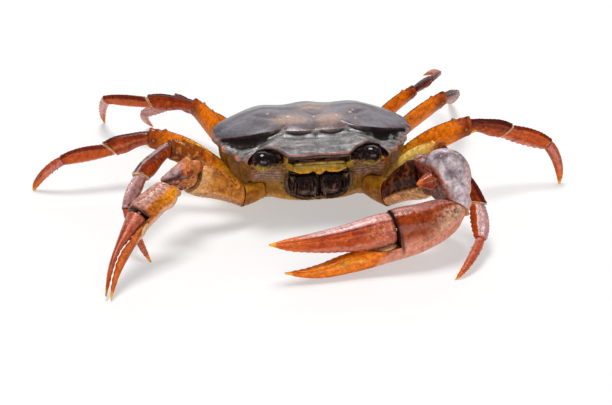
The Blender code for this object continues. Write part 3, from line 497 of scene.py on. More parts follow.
def joined(skins):
    """Several skins as one; their tints and gloss come along."""
    whole = {"points": [], "faces": [], "tint": [], "gloss": []}
    count = 0
    for skin in skins:
        faces = skin["faces"]
        whole["points"].append(skin["points"])
        whole["faces"].append(np.where(faces < 0, -1, faces + count))
        whole["tint"].append(skin["tint"])
        whole["gloss"].append(skin["gloss"])
        count += len(skin["points"])
    return {key: np.concatenate(value) for key, value in whole.items()}


def painted(skin, tint, gloss=0.0):
    count = len(skin["points"])
    skin["tint"] = np.broadcast_to(np.asarray(tint, float), (count, 3)).copy()
    skin["gloss"] = np.broadcast_to(np.asarray(gloss, float), (count,)).copy()
    return skin


def show(name, skins, look, nodes):
    """Makes the piece that stands for the nodes."""
    skin = joined(skins)
    mesh = mesh_of(name, skin, MM, ORIGIN)
    colour = mesh.attributes.new("tint", "FLOAT_COLOR", "POINT")
    colour.data.foreach_set("color",
                            np.c_[skin["tint"], np.ones(len(skin["tint"]))].astype(np.float32).ravel())
    shine = mesh.attributes.new("gloss", "FLOAT", "POINT")
    shine.data.foreach_set("value", skin["gloss"].astype(np.float32))
    mesh.shade_smooth()
    piece = bpy.data.objects.new(name, mesh)
    piece.data.materials.append(look)
    bpy.context.scene.collection.objects.link(piece)
    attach(piece, "root")
    if nodes:
        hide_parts(*nodes)
    return piece


def direction(yaw, pitch, side):
    y, p = math.radians(yaw), math.radians(pitch)
    return np.array([side * math.cos(y) * math.cos(p), math.sin(y) * math.cos(p), math.sin(p)])


def upright(axis):
    return unit(np.array([0.0, 0.0, 1.0]) - axis * axis[2])


def limb(start, end, planes, up, height, width, power=2.0, bow=0.0, around=56, levels=110, lips=(0.12, -0.3)):
    """A segment from one joint plane to the next, rounded at its near end and dished at its far end."""
    axis = unit(end - start)
    length = np.linalg.norm(end - start)
    side = np.cross(axis, up)
    x, y = superellipse(around, power)
    (point_a, normal_a), (point_b, normal_b) = planes
    t = np.linspace(0, 1, levels)[:, None, None]
    h, w = curve(height, t), curve(width, t)
    offset = up * (y[None, :, None] * h + bow * 4 * t * (1 - t)) + side * x[None, :, None] * w
    first = ((point_a - start - offset) @ normal_a / np.dot(axis, normal_a))[..., None]
    last = ((point_b - start - offset) @ normal_b / np.dot(axis, normal_b))[..., None]
    first, last = np.maximum(first, -0.35 * length), np.minimum(last, 1.35 * length)
    rings = start + offset + axis * (first * (1 - t) + last * t)
    if lips is None:
        return loft(rings)
    near, far = rings[0], rings[-1]
    a, b = near.mean(0), far.mean(0)
    caps_a = [a + (near - a) * 0.6 - axis * lips[0], a + (near - a) * 0.88 - axis * lips[0] * 0.7]
    caps_b = [b + (far - b) * 0.93, b + (far - b) * 0.8 + axis * lips[1],
              b + (far - b) * 0.4 + axis * lips[1]]
    steps = np.linspace(0, 1, levels)
    return loft(np.concatenate([caps_a, rings, caps_b]), np.concatenate([[0, 0], steps, [1, 1, 1]]))


def spike(root, tip, radius, sides=8, end=0.05, levels=5):
    """A tapered spine, sunk in its carrier at its root."""
    axis = unit(tip - root)
    across = unit(np.cross(axis, (0.3, 0.9, 0.2)))
    other = np.cross(axis, across)
    turn = turns(sides)
    ring = np.cos(turn)[:, None] * across + np.sin(turn)[:, None] * other
    rings = []
    for t in np.linspace(0, 1, levels):
        rings.append(root + (tip - root) * t + ring * (radius * (1 - t ** 1.4) + end * t))
    return loft(np.array(rings))


def ellipsoid(middle, axes, radii, around=24, along=16, power=2.2):
    x, y = superellipse(around, power)
    rings = []
    for k in range(1, along):
        way = math.pi * k / along
        wide = math.sin(way) ** 0.9
        rings.append(np.array(middle) - axes[0] * radii[0] * math.cos(way)
                     + (y[:, None] * axes[1] * radii[1] + x[:, None] * axes[2] * radii[2]) * wide)
    skin = loft(np.array(rings))
    skin["points"][-2] = np.array(middle) - axes[0] * radii[0]
    skin["points"][-1] = np.array(middle) + axes[0] * radii[0]
    return skin


def bristle(root, tip, radius, end, levels, dark, pale, share, gloss):
    """A hair of a colour between dark and pale."""
    hair = spike(root, tip, radius, 5, end, levels)
    return painted(hair, mix(dark, pale, np.full(len(hair["points"]), share)), gloss)


def behind(skin, point, normal):
    """The skin with all that lies in front of a plane pushed back onto it."""
    normal = unit(normal)
    ahead = (skin["points"] - point) @ normal
    skin["points"] = skin["points"] - np.maximum(ahead, 0)[:, None] * normal
    return skin


def half_space(point, normal, size=30.0):
    """A block that lies in front of the plane."""
    normal = unit(normal)
    across = unit(np.cross(normal, (0.31, 0.2, 0.93)))
    other = np.cross(normal, across)
    square = np.array([across + other, other - across, -across - other, across - other]) * size
    return loft(np.array([point + square, point + square + normal * size]))


def box(middle, size):
    x, y, z = np.array(size) / 2
    ring = np.array([(-x, -y), (x, -y), (x, y), (-x, y)])
    rings = [np.c_[ring, np.full(4, level)] + middle for level in (-z, z)]
    return loft(np.array(rings))


def sized(profile, factor, clearance=0.0):
    return [(t, size * factor + clearance) for t, size in profile]


# Walking legs


def leg_joints(key):
    pair, side = int(key[0]), side_of(key)
    point = on_side(LEG_HIPS[pair], side)
    points, ways = [point], []
    for (yaw, pitch), length in zip(LEG_POSES[key], LEG_LENGTHS[pair]):
        if len(ways) == 3 and key not in LIFTED:
            pitch = -math.degrees(math.asin(point[2] / length))
        way = direction(yaw, pitch, side)
        point = point + way * length
        points.append(point)
        ways.append(way)
    return points, ways


def coxa_way(key):
    pair = int(key[0])
    return unit(on_side(np.subtract(LEG_HIPS[pair], LEG_ROOTS[pair]), side_of(key)))


def girth_of(key):
    return LEG_GIRTH[int(key[0])]


def dorsal(ways, k):
    way = ways[k]
    bends = np.zeros(3)
    if k > 0:
        bends = bends + ways[k - 1] - way
    if k < len(ways) - 1:
        bends = bends + way - ways[k + 1]
    bends = bends - way * np.dot(bends, way)
    return unit(upright(way) * UPRIGHT_SHARE[k] + bends)


def joint_normal(ways, k):
    """Square to the joint at the start of segment k. The joint of carpus and propodus lies aslant."""
    normal = unit(ways[k - 1] + ways[k])
    if k == 2:
        normal = unit(normal - dorsal(ways, 1) * JOINT_SLANT)
    return normal


def crown(turn, middle, width):
    """1 where the turn is at middle degrees, falling off over width degrees."""
    away = np.angle(np.exp(1j * (turn - math.radians(middle))))
    return np.exp(-(away / math.radians(width)) ** 2)


def teeth(t, count, sharp=1.0):
    """A row of count teeth along t."""
    return np.abs(np.sin(t * count * math.pi)) ** sharp


def merus_shape(key, clearance, **more):
    points, ways = leg_joints(key)
    girth = girth_of(key)
    bend, knee = unit(coxa_way(key) + ways[0]), unit(ways[0] + ways[1])
    near = points[0] - bend * (clearance / 2 + 0.02) if clearance else points[0] + bend * GAP / 2
    planes = ((near, bend), (points[1] - knee * GAP / 2, knee))
    height, width = sized(MERUS_HEIGHT, girth, clearance), sized(MERUS_WIDTH, girth, clearance)
    up, bow = dorsal(ways, 0), MERUS_BOW * girth
    return limb(points[0], points[1], planes, up, height, width, MERUS_POWER, bow, **more)


def leg_paint(skin, kind, key, up):
    """Colour and gloss of a walking leg's segment."""
    p, t, turn = skin["points"], skin["t"], skin["turn"]
    high = normals_of(skin) @ up
    patch, fine = cloud(p, 2.6, 5), cloud(p, 0.6, 9)
    speckle = smooth(0.1, 0.7, fine + 0.4 * patch)
    if kind == "merus":
        far = t + patch * 0.08
        base = coats(mix((0.95, 0.5, 0.03), AMBER, smooth(0.1, 0.5, far)), [
            ((0.74, 0.2, 0.002), 0.8 * smooth(0.4, 0.8, far)),
            (RUST, smooth(0.74, 0.95, far)),
        ])
        # Painted light: the bases of these two meri, which the carapace shades, are painted brighter yellow.
        if key == "3_right":
            base = mix(base, (1.0, 0.6, 0.02), 0.8 * smooth(0.65, 0.3, far))
        if key == "2_left":
            base = mix(base, (1.0, 0.78, 0.26), (0.8 + 0.4 * patch) * smooth(1.0, 0.5, t))
        if key == "2_right":
            base = coats(base, [
                ((0.2, 0.05, 0.008), 0.9 * smooth(0.35, 0.75, far + 0.4 * cloud(p, 1.3, 14))),
                ((0.6, 0.26, 0.05), 0.8 * smooth(0.1, 0.4, cloud(p, 1.0, 15)) * smooth(0.3, 0.6, far)),
            ])
        base = coats(base, [
            (MAHOGANY, 0.5 * speckle * smooth(-0.3, 0.6, high)),
            (MAROON, smooth(0.7, 0.95, high + fine * 0.15) * smooth(0.02, 0.2, t)),
            (TAN, 0.6 * smooth(-0.35, -0.9, high)),
        ])
        # Painted light: more bright yellow over the shaded base of this merus
        if key == "2_left":
            base = mix(base, (1.0, 0.72, 0.2), (0.55 + 0.3 * fine) * smooth(1.0, 0.6, t))
        flank = crown(turn, 0, 16) + crown(turn, 180, 16)
        base = coats(base, [
            (MAROON, 0.9 * flank * bell(t, 0.945, 0.035)),
            ((0.5, 0.17, 0.05), smooth(0.45, 0.8, flank * bell(t, 0.945, 0.02))),
        ])
    elif kind == "carpus":
        base = mix((0.3, 0.04, 0.008), (0.12, 0.014, 0.005), smooth(-0.3, 0.5, high + 0.3 * patch))
        base = coats(base, [
            ((0.5, 0.1, 0.004), 0.6 * smooth(0.6, 0.1, abs(high + 0.2)) * smooth(0.5, -0.2, fine)),
            (MAROON, smooth(0.55, 0.9, high + 0.3 * fine)),
            (PINK, 0.7 * smooth(-0.35, -0.8, high + 0.2 * fine)),
        ])
        if key == "2_right":
            base = coats(base, [
                # painted sheen: lilac on the upper faces
                (LILAC, 0.75 * smooth(0.35, 0.7, high + 0.5 * patch)),
                (NIGHT, 0.8 * smooth(0.35, 0.6, cloud(p, 1.0, 25))),
            ])
        base = mix(base, CREAM, 0.85 * smooth(0.975, 0.995, t))
    elif kind == "propodus":
        base = mix(BRICK, ORANGE, 0.35 + 0.5 * patch)
        if key.startswith("2"):
            # Painted sheen: pale pinkish grey over the upper half
            base = mix(base, (0.44, 0.27, 0.27), 0.9 * smooth(-0.25, 0.0, high + 0.1 * fine))
            if key == "2_right":
                base = mix(base, MAHOGANY, 0.85 * smooth(0.1, 0.5, cloud(p, 1.3, 26) - 0.4 * high))
        else:
            base = coats(base, [
                ((0.16, 0.02, 0.006), smooth(0.3, 0.75, high + 0.25 * fine)),
                ((0.6, 0.24, 0.18), 0.8 * smooth(-0.2, -0.7, high + 0.2 * fine)),
            ])
        if key == "5_right":
            base = mix(base, (0.56, 0.36, 0.34), 0.8 * smooth(-0.9, -0.3, high + 0.3 * fine))
        base = mix(base, CREAM, 0.7 * smooth(0.02, 0.0, t))
    else:
        base = mix(PINK, ORANGE, smooth(0.15, 0.75, t + patch * 0.1 - 0.25 * (high > 0)))
        base = mix(base, BRICK, 0.8 * smooth(0.2, 0.8, abs(high) + 0.3 * fine) * smooth(1.0, 0.5, t))
        if key in ("4_right", "5_right"):
            base = mix(base, (0.66, 0.36, 0.33), 0.75 * smooth(0.85, 0.5, t + 0.15 * patch))
        base = mix(base, (0.78, 0.4, 0.05), 0.85 * smooth(0.86, 0.97, t))
    spots = grains(p, 0.5, 8) * smooth(0.1, 0.6, speckle + 0.3 * high)
    base = mix(base, np.asarray(base) * 0.4, spots * (0.3 if kind == "merus" else 0.55))
    return painted(skin, base, 0.6 + 0.2 * fine)


def leg_relief(kind, skin):
    """Ridges, teeth and grains of a walking leg's segment."""
    t, turn, p = skin["t"], skin["turn"], skin["points"]
    inner = smooth(0.0, 0.04, t) * smooth(1.0, 0.97, t)
    rim = smooth(0.93, 0.985, t)
    relief = 0.035 * cloud(p, 0.6, 3) + 0.03 * grains(p, 0.55, 8)
    if kind == "merus":
        crest = crown(turn, 90, 13)
        relief += crest * (0.14 + 0.1 * teeth(t, 24, 0.7)) * smooth(0.05, 0.12, t) * smooth(0.98, 0.9, t)
        relief += crest * 0.5 * bell(t, 0.815, 0.022)
        relief -= crest * 0.25 * bell(t, 0.865, 0.018)
        for low in (-62, -118):
            relief += crown(turn, low, 10) * (0.08 + 0.05 * teeth(t, 20)) * inner
        relief -= (0.12 * crown(turn, 35, 18) * bell(t, 0.86, 0.1)
                   + 0.12 * crown(turn, 145, 18) * bell(t, 0.86, 0.1))
        relief += 0.16 * rim
    elif kind == "carpus":
        for ridge in (90, 48, 132):
            relief += crown(turn, ridge, 11) * 0.17 * inner * smooth(0.0, 0.25, t)
        relief -= (crown(turn, 68, 10) + crown(turn, 112, 10)) * 0.1 * inner
        relief += crown(turn, 90, 12) * 0.06 * teeth(t, 12) * inner
        relief += 0.12 * rim
    elif kind == "propodus":
        for ridge in (90, 40, 140):
            relief += crown(turn, ridge, 12) * 0.1 * inner
        relief -= (crown(turn, 5, 20) + crown(turn, 175, 20)) * 0.1 * inner
        relief += crown(turn, -90, 10) * 0.22 * teeth(t, 8, 2.0) * inner
        relief += crown(turn, 90, 10) * 0.1 * teeth(t, 11, 1.5) * inner
        relief += 0.1 * rim
    else:
        fade = smooth(1.0, 0.8, t) * smooth(0.0, 0.1, t)
        for ridge in (90, 30, 150, -30, -150, -90):
            relief += crown(turn, ridge, 11) * 0.09 * fade
        relief *= 0.35 + 0.65 * fade
    return relief


def dactyl_spines(skin, around, levels, girth, way):
    """Four rows of short spines that point to the tip."""
    rows = skin["points"][:-2].reshape(levels, around, 3)
    made = []
    for angle in (48, 132, -48, -132):
        column = int(around * (angle % 360) / 360)
        for j in range(6):
            level = int(levels * (0.2 + 0.125 * j + 0.02 * math.sin(angle + j)))
            spot = rows[level, column]
            out = unit(spot - rows[level].mean(0))
            size = (0.34 - 0.03 * j) * girth
            spine = spike(spot - out * 0.15, spot + out * size * 1.1 + way * size * 1.5, 0.15, 6, 0.02, 4)
            made.append(painted(spine, mix(MAROON, YELLOW, spine["t"]), 0.6))
    return made


def leg_skins(key):
    """The four segments of a walking leg, each with its ridges, spines and paint."""
    points, ways = leg_joints(key)
    girth = girth_of(key)
    planes = [None] + [(points[k], joint_normal(ways, k)) for k in (1, 2, 3)]
    made = {}
    for k, (kind, height, width, power, bow, around, levels) in enumerate(LEG_SHAPES):
        start, end, way = points[k], points[k + 1], ways[k]
        up = dorsal(ways, k)
        if kind == "merus":
            skin = merus_shape(key, 0.0, around=around, levels=levels)
        else:
            near = (planes[k][0] + planes[k][1] * GAP / 2, planes[k][1])
            if k < 3:
                far = (planes[k + 1][0] - planes[k + 1][1] * GAP / 2, planes[k + 1][1])
            elif key in LIFTED:
                far = (end, way)
            else:
                far = (np.zeros(3), np.array([0.0, 0.0, -1.0]))
            lips = (0.12, -0.3) if k < 3 else None
            skin = limb(start, end, (near, far), up, sized(height, girth), sized(width, girth), power,
                        bow * girth, around, levels, lips)
        spines = dactyl_spines(skin, around, levels, girth, way) if kind == "dactyl" else []
        made[kind] = [leg_paint(raised(skin, leg_relief(kind, skin)), kind, key, up)] + spines
    for k, tone in enumerate((UMBER, CREAM, MAHOGANY)):
        kind, high, wide = LEG_SHAPES[k + 1][0], LEG_SHAPES[k][1][-1][1], LEG_SHAPES[k][2][-1][1]
        normal, up = joint_normal(ways, k + 1), dorsal(ways, k)
        made[kind] += joint_skins(points[k + 1], normal, up, high * girth, wide * girth, tone)
        if k == 0:
            axes, radii = (ways[0], up, np.cross(ways[0], up)), (1.1 * girth, 0.5 * girth, 0.9 * girth)
            lobe = ellipsoid(points[1] - up * high * girth * 0.75, axes, radii)
            made[kind].append(painted(lobe, YELLOW, 0.5))
    return made


def joint_skins(point, normal, up, height, width, tone, knobs=False):
    """Soft skin in the gap between two segments, and the two condyles that the joint turns on."""
    normal = unit(normal)
    up = unit(up - normal * np.dot(up, normal))
    side = np.cross(normal, up)
    plug = ellipsoid(point, (normal, up, side), (0.7, height * 0.8, width * 0.8), 28, 12)
    plug = painted(roughened(plug, 0.04, 0.5, 7), tone, 0.35)
    plug["tint"] = mix(plug["tint"], plug["tint"] * 0.5, 0.4 + 0.5 * cloud(plug["points"], 0.8, 4))
    made = [plug]
    if knobs:
        for way in (-1, 1):
            knob = ellipsoid(point + side * way * width * 0.86, (side, up, normal), (0.28, 0.36, 0.36),
                             14, 8, 2.0)
            made.append(painted(knob, CREAM, 0.7))
    return made


# Chelipeds


def claw_ways(name):
    spots = [on_side(CLAWS[name][key], side_of(name)) for key in ("root", "ischium_end", "merus_end")]
    return spots, [unit(spots[1] - spots[0]), unit(spots[2] - spots[1])]


def ischium_shape(name, clearance, **more):
    (root, end, _), ways = claw_ways(name)
    size = CLAWS[name]["limb"]
    hip = root + ways[0] * CLAW_COXA_LENGTH
    near = hip - ways[0] * (clearance / 2 + 0.02) if clearance else hip + ways[0] * GAP / 2
    elbow = unit(ways[0] + ways[1])
    height, width = sized(ISCHIUM_HEIGHT, size, clearance), sized(ISCHIUM_WIDTH, size, clearance)
    planes = ((near, ways[0]), (end - elbow * GAP / 2, elbow))
    return limb(hip, end, planes, upright(ways[0]), height, width, 2.3, 0.0, **more)


def claw_frame(claw, side):
    wrist = on_side(claw["wrist"], side)
    along = direction(claw["yaw"], claw["pitch"], side)
    straight = upright(along)
    across = np.cross(along, straight)
    lean = math.radians(claw["lean"])
    up = straight * math.cos(lean) + across * math.sin(lean)
    return wrist, along, up, np.cross(along, up)


def claw_loft(frame, u, high, low, thickness, power, around=84, cap=None):
    """Sections of the claw's plane from low to high, flattened at cap where that is given."""
    wrist, along, up, side = frame
    x, y = superellipse(around, power)
    half, middle = (high - low) / 2, (high + low) / 2
    wide = np.minimum(curve(thickness, u), np.maximum(half, 0.2) + 1.4)
    level = middle[:, None] + y * half[:, None]
    if cap is not None:
        level = np.minimum(level, cap[:, None])
    rings = wrist + along * u[:, None, None] + up * level[..., None] + side * (x * wide[:, None])[..., None]
    return loft(rings, u)


def ischium_skins(name):
    skin = ischium_shape(name, 0.0, around=64, levels=50)
    p = skin["points"]
    skin = raised(skin, 0.05 * cloud(p, 0.8, 3) + 0.05 * grains(p, 0.7, 8))
    p, n = skin["points"], normals_of(skin)
    base = coats(mix((0.26, 0.075, 0.004), (0.42, 0.19, 0.02), 0.5 + 0.9 * cloud(p, 2.2, 4)), [
        (YELLOW, 0.5 * smooth(0.2, 0.8, n[:, 2] + 0.4 * cloud(p, 1.2, 9))),
        (CREAM, 0.4 * smooth(0.1, 0.5, cloud(p, 1.2, 19)) * smooth(-0.2, -0.7, n[:, 2])),
        (MAROON, smooth(0.3, 0.9, cloud(p, 0.9, 6)) * 0.5),
    ])
    return [painted(skin, base, 0.5)]


def claw_merus_skins(name, claw, ischium_end, elbow, merus_end, knee, merus_up):
    side, size = side_of(name), claw["limb"]
    planes = ((ischium_end + elbow * GAP / 2, elbow), (merus_end - knee * GAP / 2, knee))
    height, width = sized(CLAW_MERUS_HEIGHT, size), sized(CLAW_MERUS_WIDTH, size)
    skin = limb(ischium_end, merus_end, planes, merus_up, height, width, 1.9, 0.6, 90, 130)
    t, turn, p = skin["t"], skin["turn"], skin["points"]
    inner = smooth(0.02, 0.1, t) * smooth(1.0, 0.95, t)
    ridge = MERUS_RIDGE[name]
    above = smooth(-0.04, 0.08, np.sin(turn - math.radians(ridge)) * side)
    stripes = np.abs(np.sin(t * 40 + 1.2 * cloud(p, 2.0, 11)))
    relief = 0.04 * cloud(p, 0.8, 3) + 0.04 * grains(p, 0.6, 8)
    relief += crown(turn, ridge, 7) * 0.5 * inner * (0.8 + 0.2 * teeth(t, 12, 1.2))
    relief -= crown(turn, ridge + 24 * side, 16) * 0.25 * inner
    relief += crown(turn, 90, 9) * 0.3 * inner * (0.6 + 0.4 * teeth(t, 14, 1.2))
    relief += 0.06 * (1 - stripes) * (1 - above) * inner
    skin = raised(skin, relief)
    p = skin["points"]
    fine, patch = cloud(p, 0.6, 5), cloud(p, 2.2, 2)
    if name == "left":
        # Partly its own dark maroon, partly painted shade: the big merus's upper face is near-black.
        upper = mix((0.045, 0.006, 0.003), (0.012, 0.002, 0.002), 0.5 + 0.8 * patch)
        upper = mix(upper, MAHOGANY, 0.6 * smooth(0.25, 0.0, t))
    else:
        upper = coats(mix((0.62, 0.27, 0.05), (0.34, 0.11, 0.012), 0.5 + 0.8 * patch), [
            (MAROON, 0.8 * smooth(0.35, 0.7, fine + 0.3 * np.sin(turn))),
            ((0.12, 0.03, 0.004), 0.6 * smooth(0.2, 0.5, cloud(p, 3.0, 35))),
        ])
    lower = mix((0.85, 0.46, 0.2), (0.5, 0.2, 0.07), 0.4 + 0.6 * patch) * (1.0 if name == "left" else 0.62)
    lower = mix(lower, MAHOGANY, 0.6 * smooth(0.3, 0.05, stripes))
    base = mix(lower, upper, above)
    base = mix(base, (0.7, 0.36, 0.12), 0.6 * crown(turn, ridge, 4) * inner)
    pale = smooth(0.6, 1.05, t + 0.2 * patch) * (1 - above * (name == "left"))
    base = mix(base, (0.8, 0.52, 0.27), (0.75 if name == "left" else 0.5) * pale)
    veins = bell(cloud(p, 3.0, 75), 0.0, 0.06) + 0.7 * bell(cloud(p, 1.6, 76), 0.1, 0.05)
    base = mix(base, (0.24, 0.07, 0.014), 0.65 * veins)
    return [painted(skin, base, 0.55 + 0.2 * fine)]


def claw_carpus_skins(name, claw, frame, middle, merus_end, knee, merus_up, turn_way):
    """A rounded body with lobes at wrist and elbow, cut by flats, and its tooth."""
    side, size = side_of(name), claw["limb"]
    wrist = frame[0]
    long_way = unit(wrist - merus_end)
    rise = middle - (wrist + merus_end) / 2
    carpus_up = unit(rise - long_way * np.dot(rise, long_way))
    axes = (long_way, carpus_up, np.cross(long_way, carpus_up))
    inward = axes[2] * side
    root, tip = (middle + long_way * a + carpus_up * b + inward * c for a, b, c in claw["spine"])
    bodies = [ellipsoid(middle, axes, claw["carpus_radii"], 64, 44, 2.5)]
    for share, radius, lift in WRIST_LOBES:
        bodies.append(ellipsoid(middle + (wrist - middle) * share + carpus_up * lift * size, axes,
                                (radius * size, radius * size, radius * 0.95 * size), 40, 28))
    bodies.append(ellipsoid(merus_end + knee * 1.6 * size + merus_up * 3.4 * size, axes,
                            [radius * size for radius in ELBOW_LOBE], 36, 24))
    cutters = [half_space(merus_end + knee * GAP / 2, -knee),
               half_space(wrist - turn_way * GAP / 2, turn_way)]
    facets = [(unit(np.array(numbers[:3])), numbers[3]) for numbers in CARPUS_FACETS[name]]
    cutters += [half_space(middle + facet * reach, facet) for facet, reach in facets]
    share, radius = CARPUS_TOOTH[name]
    tooth = spike(root, root + (tip - root) * share, radius, 24, 0.25, 9)
    skin = worked([worked(bodies, cutters), tooth], (), CARPUS_VOXEL, 3)
    p = skin["points"]
    n = normals_of(skin)
    to_tip = np.clip((p - root) @ unit(tip - root) / np.linalg.norm(tip - root), 0, 1.1)
    beside = np.linalg.norm(p - root - to_tip[:, None] * (tip - root), axis=1)
    on_spine = to_tip * smooth(3.2 * size, 2.2 * size, beside)
    off_axis = np.linalg.norm(p - root - np.clip(to_tip, 0, 1)[:, None] * (tip - root), axis=1)
    fade_end, fade_start = (4.2, 2.6) if name == "left" else (2.6, 1.2)
    elbow_side = smooth(fade_end * size, fade_start * size, (p - merus_end) @ knee)
    facet, reach = facets[0]
    # on_facet: the first flat, painted reddish-brown and maroon below; partly its own colour, partly painted
    # shade.
    on_facet = smooth(0.75, 0.95, n @ facet) * smooth(reach - 0.9, reach - 0.2, (p - middle) @ facet)
    flats = [(p - middle) @ way - far for way, far in facets]
    fold = bell(flats[0] - flats[1], 0.0, 0.9) * smooth(-1.6, -0.5, flats[0])
    relief = 0.08 * grains(p, 0.7, 21) * smooth(0.9, 0.2, on_facet) * (1 - on_spine)
    relief += 0.04 * cloud(p, 0.9, 5)
    skin = raised(skin, relief)
    patch, fine = cloud(p, 2.6, 6), cloud(p, 0.6, 16)
    top = n @ carpus_up
    streaks = cloud(p * (1.0, 1.0, 0.35), 1.1, 36)
    if name == "left":
        dark = mix((0.34, 0.07, 0.02), (0.07, 0.008, 0.004), smooth(-0.1, 0.4, fine + 0.4 * patch))
        base = mix((0.52, 0.44, 0.465), (0.16, 0.12, 0.14), smooth(-0.5, 0.6, patch + 0.7 * streaks))
        base = coats(base, [
            ((0.5, 0.22, 0.16), 0.8 * smooth(0.35, -0.3, top + 0.3 * patch)),
            ((0.62, 0.34, 0.3), 0.7 * bell((p - middle) @ np.array([1.0, 0.0, 0.0]), 5.2, 1.0)),
            (MAHOGANY, 0.8 * smooth(0.3, 0.8, fine + 0.7 * patch - 0.6 * top)),
            ((0.3, 0.06, 0.02), 0.95 * smooth(0.0, 0.5, on_facet)),
            (dark, 0.9 * smooth(4.6, 2.9, off_axis + 0.5 * patch)),
        ])
    else:
        base = coats(mix((0.5, 0.26, 0.22), LILAC, smooth(-0.2, 0.4, patch + 0.5 * streaks)), [
            (MAHOGANY, 0.6 * smooth(0.2, 0.7, fine + 0.5 * patch)),
            ((0.3, 0.055, 0.008), 0.95 * smooth(0.1, 0.5, on_facet)),
            ((0.5, 0.15, 0.012), 0.85 * smooth(0.3, 1.8, (p - middle)[:, 0] + patch + 0.8 * fine)),
            ((0.7, 0.45, 0.22), smooth(-0.45, -0.8, n[:, 2] + 0.2 * fine)),
            (MAROON, 0.9 * fold),
        ])
    base = coats(base, [
        (MAROON, 0.85 * on_facet * smooth(-0.1, 0.4, fine + patch)),
        ((0.5, 0.3, 0.28), 0.5 * on_facet * grains(p, 0.7, 21) * (name == "left")),
        ((0.6, 0.2, 0.02), 0.25 * bell(on_facet, 0.5, 0.25) * smooth(0.0, 0.5, -n[:, 0] * side)),
        (MAHOGANY, 0.85 * elbow_side * smooth(-0.2, 0.3, fine + 0.5 * patch + 0.4)),
        ((0.3, 0.05, 0.01), smooth(0.15, 0.4, on_spine) * 0.85),
        (ORANGE, smooth(0.6, 0.75, on_spine)),
        (AMBER, smooth(0.75, 0.9, on_spine)),
    ])
    return [painted(skin, base, 0.55 + 0.2 * fine)]


